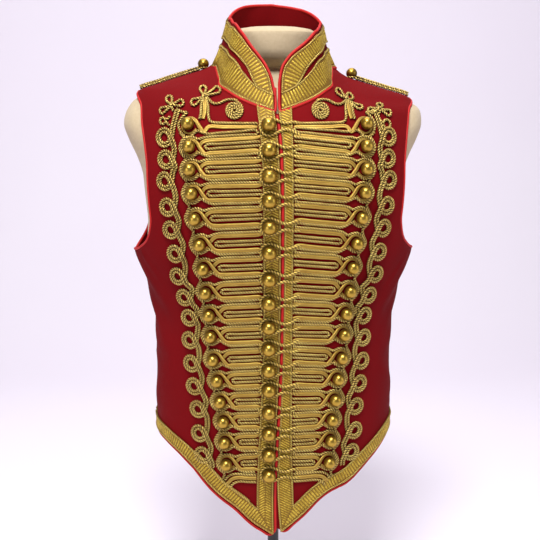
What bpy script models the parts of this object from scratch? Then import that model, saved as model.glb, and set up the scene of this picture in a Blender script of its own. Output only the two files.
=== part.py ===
"""A sleeveless hussar waistcoat on a limbless dress form with a short stand.

The cloth is cut from one body surface, given by level rings from the hem to the neck. A place on it
is written as (s, z): s is the distance along the ring from the centre front, positive towards the
wearer's left (+X), and z is the height. The braid, laces and buttons are laid out in (s, z) at their
real size and then wrapped onto the cloth. Tables are in millimetres, meshes in metres.
"""
import math

import bmesh
import bpy
import numpy as np

MM = 0.001
QUARTER = math.pi / 2

# Level rings of the waistcoat's outer face: half width, depth to the front, depth to the back, roundness
RINGS = (
    # z, half_width, front, back, power
    (190, 164, 112, 108, 2.35),
    (320, 164, 112.5, 110, 2.35),
    (400, 163.2, 110, 106, 2.35),
    (440, 162.8, 109, 104, 2.35),
    (480, 163.5, 109.5, 104.5, 2.35),
    (520, 170, 113, 109, 2.35),
    (555, 182, 118, 115, 2.35),
    (572, 188, 120.5, 118, 2.35),
    (600, 193, 124, 121, 2.35),
    (640, 198, 127, 123, 2.35),
    (680, 201, 124, 122, 2.3),
    (720, 202, 115, 118, 2.2),
    (745, 199, 104, 112, 2.1),
    (765, 193, 91, 106, 2.05),
    (786, 183, 67, 97, 2.0),
    (797, 150, 52, 90, 2.0),
    (808, 114, 36, 82, 2.0),
    (818, 83, 22, 74, 2.0),
    (834, 68, 12, 64, 2.0),
)
# Level rings of the linen form, from its flat underside to the domed top of its neck
FORM_RINGS = (
    (345, 138, 87, 85, 2.35),
    (348, 149, 97, 95, 2.35),
    (358, 155.5, 103, 101, 2.35),
    (420, 156, 103, 98.5, 2.35),
    (480, 156, 102, 97, 2.35),
    (530, 164, 107, 103, 2.35),
    (575, 179, 113, 111, 2.35),
    (620, 188, 119, 116, 2.3),
    (665, 194, 118, 116, 2.3),
    (705, 196, 111, 113, 2.2),
    (735, 194, 100, 107, 2.1),
    (757, 189, 84, 101, 2.05),
    (774, 180, 68, 91, 2.0),
    (783, 175, 60, 86, 2.0),
    (787.4, 169.5, 54, 83, 2.0),
    (794.2, 150, 43, 77, 2.0),
    (805.5, 113, 29, 68, 2.0),
    (812.8, 79, 26, 60, 2.0),
    (818, 69, 34, 56, 2.0),
    (825, 64, 43, 54, 2.0),
    (836, 58, 48, 49, 2.0),
    (857, 56, 50, 47, 2.0),
    (862, 50, 44, 41, 2.0),
    (865, 34, 30, 28, 2.0),
)
# Where the fronts meet: the wearer's right front runs a little past the centre
FRONT_EDGE = ((200, -1.5), (250, -2), (320, 0.3), (387, 4), (455, 6.5), (522, 7), (588, 6.5),
              (650, 6), (700, 5), (738, 2.5), (756, 0))
# Cut lines on the front, by the ring's angle in degrees from the centre front
HEM = ((0, 205), (2.2, 200), (5, 208), (9.4, 219), (17, 240), (29, 260), (40, 281), (50, 296),
       (68, 314), (80, 319), (90, 320))
NECKLINE = ((0, 755), (6.8, 763), (13.6, 771.6), (20.3, 782.7), (30.5, 799), (45, 810), (60, 815), (90, 818))
# Cut lines on the back, by the angle from the centre back
BACK_HEM = ((0, 312), (45, 314), (90, 320))
BACK_NECKLINE = ((0, 832), (45, 830), (70, 825), (90, 818))
# The armholes' edge, as the ring's angle from the centre front or centre back
ARMHOLE_FRONT = ((571, 90), (575, 76), (582, 66), (592, 58.5), (605, 54.5), (625, 52), (650, 52),
                 (685, 52), (720, 54), (745, 58.5), (765, 65), (777, 75), (786, 90))
ARMHOLE_BACK = ((571, 90), (575, 79), (582, 71), (592, 65), (605, 61), (625, 59), (650, 58.5),
                (685, 59), (720, 61), (745, 65), (765, 71), (777, 79), (786, 90))
UNDERARM, SHOULDER_TIP = 571, 786
SIDE_LEVELS = (320, 352, 392, 436, 482, 518, 548, 571, 576, 583, 592, 608, 640, 674, 706, 732, 752,
               768, 786, 802, 818)
# The panels' grid lines, as shares of the way from the centre to the side seam
FRONT_COLUMNS = (0, 0.03, 0.08, 0.15, 0.23, 0.32, 0.42, 0.53, 0.65, 0.77, 0.89, 1)
BACK_COLUMNS = (0, 0.16, 0.32, 0.48, 0.64, 0.78, 0.9, 1)
# Soft drag folds below the armholes
FOLDS = (
    # ring_angle, height, slope, length, width, depth
    (66, 535, 1.1, 60, 17, 3.6),
    (80, 505, 0.9, 50, 16, 3.0),
    (70, 452, 0.3, 45, 18, 2.4),
    (74, 385, -0.8, 60, 20, 2.4),
)
FOLDS_FADE = (46, 58)
CLOTH = 2.0
SEAM = 0.35
LIFT, LACE_LIFT = 0.75, 0.8

# The sixteen braid rows: height of the centre button, and the place of the outer button
ROWS = (
    # centre_z, outer_s, outer_z
    (738, 111, 739.5),
    (709.5, 109.5, 713.5),
    (679.5, 109, 686.5),
    (650, 107, 658),
    (618.5, 103.5, 627.5),
    (586.5, 98, 595),
    (551.5, 94, 564),
    (519.5, 91.5, 532),
    (487, 87.5, 501.5),
    (458, 85.5, 472.5),
    (429, 83, 441),
    (402.5, 78, 413),
    (372.5, 74.5, 385),
    (344, 70.5, 358.5),
    (315.5, 69, 330.5),
    (287, 67, 300.5),
)
ROW_PITCH = 30.0
BAND = 12.8
BAND_OFF = 7.5
BAND_HEIGHT = 2.6
SLIT_END = 16.2
BUTTON_S = -12.0
ROW_START = {-1: 25.2, 1: 19.0}
CENTRE_BALL, OUTER_BALL = 8.7, 7.8
LOOP_RADIUS, LOOP_WIDTH, LOOP_LIFT = 10.8, 3.0, 3.1

# The fifteen curls down each side: centre of the hole
CURLS = (
    (144, 725), (142, 698.5), (144, 672), (141, 640), (137.5, 611.5), (132.5, 580.5), (130.5, 550.5),
    (122.5, 522), (116.5, 494.5), (116.5, 464), (114.5, 432.5), (111, 402), (106, 371.5),
    (104.5, 338.5), (100, 309),
)
CURL_RADIUS, CURL_BAND, SPINE_OFF = 8.6, 6.0, 11.0
CORD, CORD_HEIGHT = 3.2, 2.4
SCALLOP_OFF, CUSP_OFF = 12.6, 4.0

TREFOIL_RISE = 0.66

LACE, LEFT_LACE, LACE_HEIGHT = 21.0, 9.6, 1.4
HEM_LACE = 18.0
PIPING, EDGE_PIPING = 1.5, 1.0

# The stand collar: height above the neckline and lean, by the distance round from the centre front
COLLAR_HEIGHTS = ((0, 30), (5, 40), (8, 49), (14, 57.5), (26, 67), (50, 76), (78, 77), (100, 71),
                  (130, 62), (180, 62), (250, 66))
COLLAR_WALL, COLLAR_LEAN, COLLAR_FRONT = 2.2, 0.2, 4.0

POLE_RADIUS, BASE_RADIUS, BASE_HEIGHT, HUB_HEIGHT = 8.0, 150.0, 10.0, 24.0
FORM_BOTTOM = 345.0

RED, PIPING_RED, GOLD = (0.2, 0.004, 0.008), (0.5, 0.01, 0.012), (0.42, 0.27, 0.05)
BRASS, LINEN, STEEL = (0.4, 0.25, 0.07), (0.5, 0.42, 0.3), (0.02, 0.02, 0.022)


def smooth(x, table, column=1):
    """A table's column at x, along a curve through its rows that doesn't swing past them."""
    rows = np.array(table, float)
    xs, ys = rows[:, 0], rows[:, column]
    steps = np.diff(ys) / np.diff(xs)
    slopes = np.zeros(len(xs))
    same = steps[:-1] * steps[1:] > 0
    slopes[1:-1][same] = 2 * steps[:-1][same] * steps[1:][same] / (steps[:-1] + steps[1:])[same]
    slopes[0], slopes[-1] = steps[0], steps[-1]
    x = np.clip(x, xs[0], xs[-1])
    i = np.clip(np.searchsorted(xs, x) - 1, 0, len(xs) - 2)
    width = xs[i + 1] - xs[i]
    t = (x - xs[i]) / width
    return (ys[i] * (1 + 2 * t) * (1 - t) ** 2 + ys[i + 1] * t * t * (3 - 2 * t)
            + width * (slopes[i] * t * (1 - t) ** 2 - slopes[i + 1] * t * t * (1 - t)))


def ring_point(angle, z, rings=RINGS):
    """The place at an angle round the ring of height z, from the centre front (0) to the back (pi)."""
    half, front, back, power = (smooth(z, rings, column) for column in (1, 2, 3, 4))
    c, s = np.cos(angle), np.sin(angle)
    depth = np.where(c >= 0, front, back)
    x = half * np.sign(s) * np.abs(s) ** (2 / power)
    y = -depth * np.sign(c) * np.abs(c) ** (2 / power)
    return np.stack([x, y, np.broadcast_to(z, np.shape(x))], axis=-1)


def fold_depth(angle, z):
    """How far the soft folds push the cloth out or in."""
    degrees_round = np.degrees(np.abs(angle))
    total = 0.0
    for middle, height, slope, length, width, depth in FOLDS:
        across = (degrees_round - middle) * 2.2
        up = z - height
        turn = math.hypot(1, slope)
        along, off = (across + slope * up) / turn, (up - slope * across) / turn
        total = total + depth * np.exp(-(along / length) ** 2 - (off / width) ** 2) * np.cos(off / width)
    low, high = FOLDS_FADE
    share = np.clip((degrees_round - low) / (high - low), 0, 1)
    back = np.clip((120 - degrees_round) / 20, 0, 1)
    return total * share * share * (3 - 2 * share) * back


def cloth(angle, z, out=0.0):
    """A point of the cloth's outer face, moved out along its normal."""
    angle, z = np.asarray(angle, float), np.asarray(z, float)
    step_a, step_z = 0.004, 0.8
    point = ring_point(angle, z)
    round_ = ring_point(angle + step_a, z) - ring_point(angle - step_a, z)
    up = ring_point(angle, z + step_z) - ring_point(angle, z - step_z)
    normal = np.cross(round_, up)
    normal /= np.linalg.norm(normal, axis=-1, keepdims=True)
    out = np.asarray(out + fold_depth(angle, z))
    return point + normal * out[..., None]


def angle_at(s, z):
    """The ring angle that lies a distance s along the ring from the centre front."""
    angles = np.linspace(0, math.pi, 181)
    points = ring_point(angles, float(z))
    lengths = np.concatenate([[0], np.cumsum(np.linalg.norm(np.diff(points, axis=0), axis=1))])
    return math.copysign(np.interp(abs(s), lengths, angles), s)


def lay(s, z, out=0.0):
    """A place (s, z) of the cloth's outer face, a height out from it."""
    return cloth(angle_at(s, z), z, out)


def material(name, colour, roughness, metallic=0.0):
    made = bpy.data.materials.new(name)
    made.use_nodes = True
    shader = made.node_tree.nodes["Principled BSDF"]
    shader.inputs["Base Color"].default_value = (*colour, 1)
    shader.inputs["Roughness"].default_value = roughness
    shader.inputs["Metallic"].default_value = metallic
    made.diffuse_color = (*colour, 1)
    return made


def add_object(name, points, faces, finish, flat=False):
    """One closed solid from points in millimetres."""
    mesh = bpy.data.meshes.new(name)
    mesh.from_pydata([tuple(float(v) * MM for v in p) for p in points], [], faces)
    body = bmesh.new()
    body.from_mesh(mesh)
    bmesh.ops.recalc_face_normals(body, faces=body.faces)
    body.to_mesh(mesh)
    body.free()
    mesh.materials.append(finish)
    if not flat:
        mesh.shade_smooth()
        mesh.set_sharp_from_angle(angle=math.radians(50))
    made = bpy.data.objects.new(name, mesh)
    bpy.context.scene.collection.objects.link(made)
    return made


def wall(name, outer, inner, finish):
    """A cloth wall from a grid of outer points and the same grid moved in, closed round its edge."""
    rows, columns = outer.shape[:2]
    points = np.concatenate([outer.reshape(-1, 3), inner.reshape(-1, 3)])
    back = rows * columns
    faces = []
    for r in range(rows - 1):
        for c in range(columns - 1):
            a, b = r * columns + c, r * columns + c + 1
            d, e = a + columns, b + columns
            faces.append((a, b, e, d))
            faces.append((a + back, d + back, e + back, b + back))
    edge = ([(0, c) for c in range(columns)] + [(r, columns - 1) for r in range(1, rows)]
            + [(rows - 1, c) for c in range(columns - 2, -1, -1)] + [(r, 0) for r in range(rows - 2, 0, -1)])
    ring = [r * columns + c for r, c in edge]
    for a, b in zip(ring, ring[1:] + ring[:1]):
        faces.append((a, a + back, b + back, b))
    return add_object(name, points, faces, finish)


def strip(name, path, width, finish, height=CORD_HEIGHT, lift=LIFT, place=lay, closed=False, crown=0.72):
    """A flat cord or lace along a path in the surface's own plane, its sides laid on the surface too."""
    path = np.array(path, float)
    count = len(path)
    widths = np.broadcast_to(width, count).astype(float)
    lifts = np.broadcast_to(lift, count).astype(float)
    if closed:
        ahead, behind = np.roll(path, -1, axis=0) - path, path - np.roll(path, 1, axis=0)
    else:
        ahead = np.vstack([path[1:] - path[:-1], path[-1:] - path[-2:-1]])
        behind = np.vstack([ahead[:1], ahead[:-1]])
    unit = ahead / np.linalg.norm(ahead, axis=1)[:, None] + behind / np.linalg.norm(behind, axis=1)[:, None]
    unit /= np.linalg.norm(unit, axis=1)[:, None]
    side = np.stack([unit[:, 1], -unit[:, 0]], axis=1)
    points = []
    for here, off, wide, low in zip(path, side, widths, lifts):
        for across, up in ((-0.5, 0), (-0.5 * crown, 1), (0.5 * crown, 1), (0.5, 0)):
            at = here + off * wide * across
            points.append(place(at[0], at[1], low + up * height))
    faces = []
    for i in range(count if closed else count - 1):
        a, b = 4 * i, 4 * ((i + 1) % count)
        faces += [(a + k, a + (k + 1) % 4, b + (k + 1) % 4, b + k) for k in range(4)]
    if not closed:
        last = 4 * (count - 1)
        faces += [(3, 2, 1, 0), (last, last + 1, last + 2, last + 3)]
    return add_object(name, points, faces, finish)


def tube(name, centres, radius, finish, sides=5, closed=False):
    """A round cord along points in space."""
    centres = np.array(centres, float)
    count = len(centres)
    if closed:
        ways = np.roll(centres, -1, axis=0) - np.roll(centres, 1, axis=0)
    else:
        ways = np.gradient(centres, axis=0)
    ways /= np.linalg.norm(ways, axis=1)[:, None]
    radial = np.cross(ways, np.array((0.13, 0.21, 1.0)))
    points = []
    for here, way, out in zip(centres, ways, radial):
        out = out / np.linalg.norm(out)
        other = np.cross(way, out)
        for k in range(sides):
            turn = 2 * math.pi * k / sides
            points.append(here + radius * (math.cos(turn) * out + math.sin(turn) * other))
    faces = []
    for i in range(count if closed else count - 1):
        a, b = sides * i, sides * ((i + 1) % count)
        faces += [(a + k, a + (k + 1) % sides, b + (k + 1) % sides, b + k) for k in range(sides)]
    if not closed:
        last = sides * (count - 1)
        faces += [tuple(range(sides)), tuple(last + k for k in range(sides))]
    return add_object(name, points, faces, finish)


def turned(name, base, axis, profile, sides, finish):
    """A turned piece: profile rows of radius and height along the axis, closed at both ends."""
    axis = np.array(axis, float) / np.linalg.norm(axis)
    first = np.cross(axis, (0.0, 0.0, 1.0) if abs(axis[2]) < 0.9 else (1.0, 0.0, 0.0))
    first /= np.linalg.norm(first)
    second = np.cross(axis, first)
    points = []
    for radius, height in profile:
        for k in range(sides):
            turn = 2 * math.pi * k / sides
            points.append(base + axis * height + radius * (math.cos(turn) * first + math.sin(turn) * second))
    points += [base + axis * profile[0][1], base + axis * profile[-1][1]]
    faces = []
    for i in range(len(profile) - 1):
        a, b = sides * i, sides * (i + 1)
        faces += [(a + k, a + (k + 1) % sides, b + (k + 1) % sides, b + k) for k in range(sides)]
    low, high, last = len(points) - 2, len(points) - 1, sides * (len(profile) - 1)
    for k in range(sides):
        faces += [(low, (k + 1) % sides, k), (high, last + k, last + (k + 1) % sides)]
    return add_object(name, points, faces, finish)


def front_angle(side, column, z, level):
    """The ring angle of a front's grid line at height z, on the grid row of that side level."""
    outer = math.radians(armhole(level, ARMHOLE_FRONT)) - SEAM / 190
    edge = angle_at(smooth(z, FRONT_EDGE) + side * SEAM / 2, z)
    return edge + (side * outer - edge) * column


def front_panel(name, side, finish):
    """A front: centre edge, hem, side seam, armhole, shoulder seam and neckline on one grid."""
    columns = FRONT_COLUMNS
    low, high = SIDE_LEVELS[0], SIDE_LEVELS[-1]
    shares = [(level - low) / (high - low) for level in SIDE_LEVELS]
    angles, heights = [], []
    for share, level in zip(shares, SIDE_LEVELS):
        row_a, row_z = [], []
        for column in columns:
            hem, neck = smooth(column * 90, HEM), smooth(column * 90, NECKLINE)
            z = hem + (neck - hem) * share
            row_a.append(front_angle(side, column, z, level))
            row_z.append(z)
        angles.append(row_a)
        heights.append(row_z)
    angles, heights = np.array(angles), np.array(heights)
    return wall(name, cloth(angles, heights), cloth(angles, heights, -CLOTH), finish)


def armhole(z, table):
    return 90.0 if z <= UNDERARM or z >= SHOULDER_TIP else float(np.interp(z, *zip(*table)))


def back_panel(finish):
    """The back, in one piece from side seam to side seam."""
    columns = [-c for c in reversed(BACK_COLUMNS[1:])] + list(BACK_COLUMNS)
    low, high = SIDE_LEVELS[0], SIDE_LEVELS[-1]
    angles, heights = [], []
    for level in SIDE_LEVELS:
        share = (level - low) / (high - low)
        row_a, row_z = [], []
        for column in columns:
            hem, neck = smooth(abs(column) * 90, BACK_HEM), smooth(abs(column) * 90, BACK_NECKLINE)
            z = hem + (neck - hem) * share
            outer = math.radians(armhole(level, ARMHOLE_BACK)) - SEAM / 190
            row_a.append(math.pi - column * outer)
            row_z.append(z)
        angles.append(row_a)
        heights.append(row_z)
    angles, heights = np.array(angles), np.array(heights)
    return wall("back", cloth(angles, heights), cloth(angles, heights, -CLOTH), finish)


def neck_seam():
    """The neckline from the centre front to the centre back on the wearer's left, through the panels' corners."""
    points = [cloth(QUARTER * share, smooth(90 * share, NECKLINE)) for share in FRONT_COLUMNS]
    points += [cloth(math.pi - QUARTER * share, smooth(90 * share, BACK_NECKLINE))
               for share in reversed(BACK_COLUMNS[:-1])]
    return np.array(points)


NECK_POINTS = neck_seam()
NECK_LENGTHS = np.concatenate([[0], np.cumsum(np.linalg.norm(np.diff(NECK_POINTS, axis=0), axis=1))])
NECK_HALF = float(NECK_LENGTHS[-1])


def lay_collar(round_, up, out=0.0):
    """A place on the collar's outer face: distance round from the centre front and height above the seam."""
    sign = -1.0 if round_ < 0 else 1.0
    distance = abs(round_)
    if distance > NECK_HALF:
        distance, sign = 2 * NECK_HALF - distance, -sign
    seam = np.array([np.interp(distance, NECK_LENGTHS, NECK_POINTS[:, i]) for i in range(3)])
    inward = np.array([-seam[0], -10 - seam[1], 0.0])
    inward /= np.linalg.norm(inward)
    point = seam + inward * (1.1 + COLLAR_LEAN * (up + 4) - out)
    point[0] *= sign
    point[2] += up
    return point


def round_neck(first):
    """Distances round the neckline from one front to the other, starting and ending at the distance first."""
    half = [first] + [float(length) for length in NECK_LENGTHS if first + 1 < length < NECK_HALF]
    return half + [NECK_HALF] + [2 * NECK_HALF - length for length in reversed(half)]


def collar_top(distance):
    return float(smooth(min(distance, 2 * NECK_HALF - distance), COLLAR_HEIGHTS))


def collar_piece(finish):
    outer, inner = [], []
    for distance in round_neck(COLLAR_FRONT):
        height = collar_top(distance)
        rows = [0.5, height * 0.36, height * 0.7, height]
        outer.append([lay_collar(distance, up) for up in rows])
        inner.append([lay_collar(distance, up, -COLLAR_WALL) for up in rows])
    return wall("collar", np.array(outer), np.array(inner), finish)


def row_line(k, share):
    """Height of row k's slit between its centre end (0) and its outer button (1)."""
    centre, _, outer = ROWS[k]
    start = (ROWS[k - 1][0] + centre) / 2 if k else centre + ROW_PITCH / 2
    return start + (outer - start) * share


def band_run(k, side, start, end, upper):
    """Points of the upper or lower band of row k, between two distances from the centre front."""
    out = []
    count = 2 + round(abs(end - start) / 30)
    for s in np.linspace(start, end, count):
        share = (s - 20) / (ROWS[k][1] - 20)
        out.append((side * s, row_line(k, share) + (BAND_OFF if upper else -BAND_OFF)))
    return out


def half_turn(centre_s, centre_z, radius, outward, side):
    """The inner points of a half turn, from above to below, bulging away from the centre front or to it."""
    way = 1 if outward else -1
    return [(side * (centre_s + way * radius * math.cos(math.radians(turn))),
             centre_z + radius * math.sin(math.radians(turn))) for turn in ((32, -32) if outward else (40, 0, -40))]


def braid_path(side):
    """The cord band of one front, end to end: stem, sixteen hairpins and the last half row."""
    start = ROW_START[side]
    path, widths, lifts = [], [], []

    def add(points, width=BAND, lift=LIFT):
        for point in points:
            path.append(point)
            widths.append(width)
            lifts.append(lift)

    top = row_line(0, 0.7) - BAND_OFF
    add([(side * 92, 771), (side * 91.5, 760)], 9.5)
    add([(side * 89, top + 10), (side * 83, top + 3.5)], 11)
    add(band_run(0, side, 74, start + 14, False))
    for k in range(1, len(ROWS) + 1):
        centre = ROWS[k - 1][0]
        if side < 0:
            add(half_turn(start + 13.9, centre, BAND_OFF, False, side))
        else:
            add([(start + 7, centre + BAND_OFF - 0.5)], 9)
            add([(start - 2, centre + 5.6)], LOOP_WIDTH, 2.9)
            for turn in range(60, 301, 48):
                add([(BUTTON_S + LOOP_RADIUS * math.cos(math.radians(turn)),
                      centre + LOOP_RADIUS * math.sin(math.radians(turn)))], LOOP_WIDTH, LOOP_LIFT)
            add([(start - 2, centre - 5.6)], LOOP_WIDTH, 2.9)
            add([(start + 7, centre - BAND_OFF + 0.5)], 9)
        if k < len(ROWS):
            end = ROWS[k][1] - SLIT_END
            add(band_run(k, side, start + 14, end, True))
            add(half_turn(end, row_line(k, (end - 20) / (ROWS[k][1] - 20)), BAND_OFF, True, side))
            add(band_run(k, side, end, start + 14, False))
        else:
            low = centre - BAND_OFF
            add([(side * (start + 14), low), (side * 50, low), (side * 57, low - 4)], BAND - 1.5)
    return path, widths, lifts


def button_profile(radius):
    return ((radius * 0.8, 0.0), (radius, radius * 0.6), (radius * 0.86, radius * 1.3),
            (radius * 0.42, radius * 1.7))


def ball(name, s, z, low, radius, sides, finish):
    base = lay(s, z, low)
    return turned(name, base, lay(s, z, low + 5) - base, button_profile(radius), sides, finish)


def braid(name, side, finish):
    """One front's rows with their outer buttons: the buttons are stitched down on the rows' ends."""
    path, widths, lifts = braid_path(side)
    made = strip(name, path, widths, finish, BAND_HEIGHT, lifts)
    knobs = [ball(f"cutter_{k}", side * s, z, LIFT + 0.7, OUTER_BALL, 6, finish)
             for k, (_, s, z) in enumerate(ROWS)]
    link = [(side * 84, row_line(0, 0.72) - BAND_OFF + 1), (side * 96, 737.5), (side * 108, 740.5)]
    knobs.append(strip("cutter_link", link, 8.0, finish, BAND_HEIGHT - 0.9, LIFT + 0.35))
    for knob in knobs:
        union = made.modifiers.new(knob.name, "BOOLEAN")
        union.operation = "UNION"
        union.object = knob
        knob.hide_render = True
        knob.display_type = "WIRE"
    return made


def scallop(name, side, finish):
    """The single cord that runs down outside the outer buttons, with a cusp between each two."""
    path = [(side * 114.5, 753)]
    for k, (_, s, z) in enumerate(ROWS):
        for turn in (34, -34):
            path.append((side * (s + SCALLOP_OFF * math.cos(math.radians(turn))),
                         z + SCALLOP_OFF * 0.92 * math.sin(math.radians(turn))))
        if k + 1 < len(ROWS):
            _, below_s, below_z = ROWS[k + 1]
            path.append((side * ((s + below_s) / 2 + CUSP_OFF), (z + below_z) / 2))
    path.append((side * (ROWS[-1][1] + 5), ROWS[-1][2] - 18))
    return strip(name, path, CORD, finish)


def curls(name, side, finish):
    """The double cord down the outer side: a spine that swings out round each curl."""
    path = [(side * 132, 757), (side * 131.5, 742)]
    for s, z in CURLS:
        for turn in (120, 45, -45, -120):
            path.append((side * (s + CURL_RADIUS * math.cos(math.radians(turn))),
                         z + CURL_RADIUS * math.sin(math.radians(turn))))
        path.append((side * (s - SPINE_OFF), z - 13.5))
    return strip(name, path, CURL_BAND, finish)


def trefoil(name, s, z, size, side, finish, tilt=0.0):
    """A single cord in three open loops over a short stem."""
    path = []
    for turn in range(-38, 219, 16):
        a = math.radians(turn)
        reach = size * (0.66 + 0.34 * math.cos(3 * (a - math.pi / 2)))
        a += math.radians(tilt)
        path.append((side * (s + reach * math.cos(a)), z + TREFOIL_RISE * reach * math.sin(a)))
    return strip(name, path, CORD, finish)


def rosette(name, s, z, side, finish):
    """The flat spiral of cord beside the neck."""
    base = lay(side * s, z, LIFT - 0.3)
    profile = ((13.0, 0.0), (13.4, 1.4), (11.0, 2.6), (0.8, 3.0))
    return turned(name, base, lay(side * s, z, 5) - base, profile, 16, finish)


def centre_levels():
    """Heights of the panels' grid lines at the centre front, below the collar."""
    low, high = smooth(0, HEM), smooth(0, NECKLINE)
    bottom, top = SIDE_LEVELS[0], SIDE_LEVELS[-1]
    levels = [low + (high - low) * (level - bottom) / (top - bottom) for level in SIDE_LEVELS]
    return [float(z) for z in levels[-2::-1] if z > 240]


def laces(finish):
    """Flat gold lace down the front edges, round the hem and round the collar."""
    for side, name, wide, clear in ((-1, "lace_right", LACE, 2.6), (1, "lace_left", LEFT_LACE, 0.9)):
        path, widths = [], []
        for z in centre_levels():
            path.append((float(smooth(z, FRONT_EDGE)) + side * (clear + wide / 2), z))
            widths.append(wide)
        for share in FRONT_COLUMNS[2:]:
            turn = 90 * min(share, 0.985)
            hem = float(smooth(turn, HEM))
            s = arc_length(math.radians(turn), hem)
            path.append((side * (s - 3 * (1 - share)), hem + HEM_LACE / 2 + 4 - share))
            widths.append(HEM_LACE)
        strip(name, path, widths, finish, LACE_HEIGHT, LACE_LIFT, crown=0.96)
    points = []
    for share in [0.985] + [c for c in reversed(BACK_COLUMNS[:-1])] + [-c for c in BACK_COLUMNS[1:-1]] + [-0.985]:
        hem = float(smooth(90 * abs(share), BACK_HEM))
        around = arc_length(math.pi - QUARTER * share, hem)
        points.append((around, hem + HEM_LACE / 2 + 3))
    strip("lace_back", points, HEM_LACE, finish, LACE_HEIGHT, LACE_LIFT, place=lay_round, crown=0.96)
    around = round_neck(COLLAR_FRONT + 9.5)
    loop = [(distance, 12.0) for distance in around]
    for distance in reversed(around):
        loop.append((distance, collar_top(distance) - 11.0))
    strip("collar_lace", loop, 16.0, finish, 1.2, 1.0, place=lay_collar, closed=True, crown=0.96)


def arc_length(angle, z):
    angles = np.linspace(0, angle, 121)
    points = ring_point(angles, float(z))
    return float(np.sum(np.linalg.norm(np.diff(points, axis=0), axis=1)))


def lay_round(s, z, out=0.0):
    """As lay, for a distance that runs on past the centre back."""
    ring = arc_length(math.pi, z)
    return lay(s, z, out) if s <= ring else lay(s - 2 * ring, z, out)


def beside(places, gap, toward, closed=False):
    """A line of cloth places (ring angle, z), moved off the cut edge in the cloth's own plane."""
    points = np.array([cloth(a, z, -CLOTH / 2) for a, z in places])
    normals = np.array([cloth(a, z, 1.0) - cloth(a, z) for a, z in places])
    if closed:
        ways = np.roll(points, -1, axis=0) - np.roll(points, 1, axis=0)
    else:
        ways = np.gradient(points, axis=0)
    into = np.cross(normals, ways)
    into /= np.linalg.norm(into, axis=1)[:, None]
    into *= np.sign(np.sum(into * (np.array(toward) - points), axis=1))[:, None]
    return points + into * gap


def edgings(finish):
    """Red piping: the right front's edge, the hem, the armholes and the collar."""
    gap = PIPING + 0.5
    edge = [lay(float(smooth(z, FRONT_EDGE)) - 0.95, z, EDGE_PIPING + 0.45) for z in centre_levels()]
    tube("edging_front", edge, EDGE_PIPING, finish, 4)
    below = (0.0, 0.0, -4000.0)
    for side, name in ((-1, "edging_right"), (1, "edging_left")):
        places = []
        for share in FRONT_COLUMNS[1:]:
            z = float(smooth(90 * share, HEM))
            places.append((front_angle(side, min(share, 0.992), z, UNDERARM), z))
        tube(name, beside(places, gap, below), PIPING, finish, 4)
    shares = [0.992] + list(reversed(BACK_COLUMNS[:-1])) + [-c for c in BACK_COLUMNS[1:-1]] + [-0.992]
    places = [(math.pi - QUARTER * share, float(smooth(90 * abs(share), BACK_HEM))) for share in shares]
    tube("edging_back", beside(places, gap, below), PIPING, finish, 4)
    levels = [level for level in SIDE_LEVELS if UNDERARM < level < SHOULDER_TIP]
    ring = [(math.radians(armhole(z, ARMHOLE_FRONT)), z) for z in levels] + [(QUARTER, SHOULDER_TIP)]
    ring += [(math.pi - math.radians(armhole(z, ARMHOLE_BACK)), z) for z in reversed(levels)]
    ring.append((QUARTER, UNDERARM))
    hole = beside(ring, gap + 0.2, cloth(QUARTER, (UNDERARM + SHOULDER_TIP) / 2), closed=True)
    for side, name in ((-1, "armhole_piping_right"), (1, "armhole_piping_left")):
        tube(name, hole * np.array((side, 1, 1)), PIPING, finish, 4, closed=True)
    collar_edging(finish, gap)


def collar_edging(finish, gap):
    """One length of piping: round the neckline seam, up each front edge and over the top."""
    around = round_neck(COLLAR_FRONT)
    base = [(distance, 1.9, 1.1 + gap) for distance in around]
    top = np.array([(distance, collar_top(distance)) for distance in around])
    ways = np.gradient(top, axis=0)
    ways /= np.linalg.norm(ways, axis=1)[:, None]
    over = top + np.stack([-ways[:, 1], ways[:, 0]], axis=1) * (gap + 0.1)
    mid_wall = -COLLAR_WALL / 2
    front = COLLAR_FRONT - gap
    loop = [(front, 9.0, mid_wall)] + base + [(2 * NECK_HALF - front, 9.0, mid_wall)]
    loop.append((2 * NECK_HALF - front, top[0][1] - 6, mid_wall))
    loop += [(distance, up, mid_wall) for distance, up in reversed(over)]
    loop.append((front, top[0][1] - 6, mid_wall))
    tube("collar_piping", [lay_collar(*place) for place in loop], PIPING * 0.9, finish, 4, closed=True)


def shoulder_trim(side, name, gold, brass):
    """The flat cord along the shoulder seam, with a ball button at its neck end."""
    points = []
    for z in (787.5, 791, 796, 801, 806, 811):
        ridge = cloth(side * QUARTER, z, 0)
        points.append(ridge)
    centres = [p + np.array((0, 0, 3.4)) for p in points]
    tube(f"shoulder_cord_{name}", centres, 2.6, gold, 6)
    seat = cloth(side * QUARTER, 814.0, 1.0)
    base = seat + np.array((side * 0.5, 0, 0.9))
    profile = [(3.2, 0.0), (3.2, 3.0)] + [(r, h + 3.0) for r, h in button_profile(7.8)[1:]]
    turned(f"shoulder_button_{name}", base, (0, 0, 1), profile, 8, brass)


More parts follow.
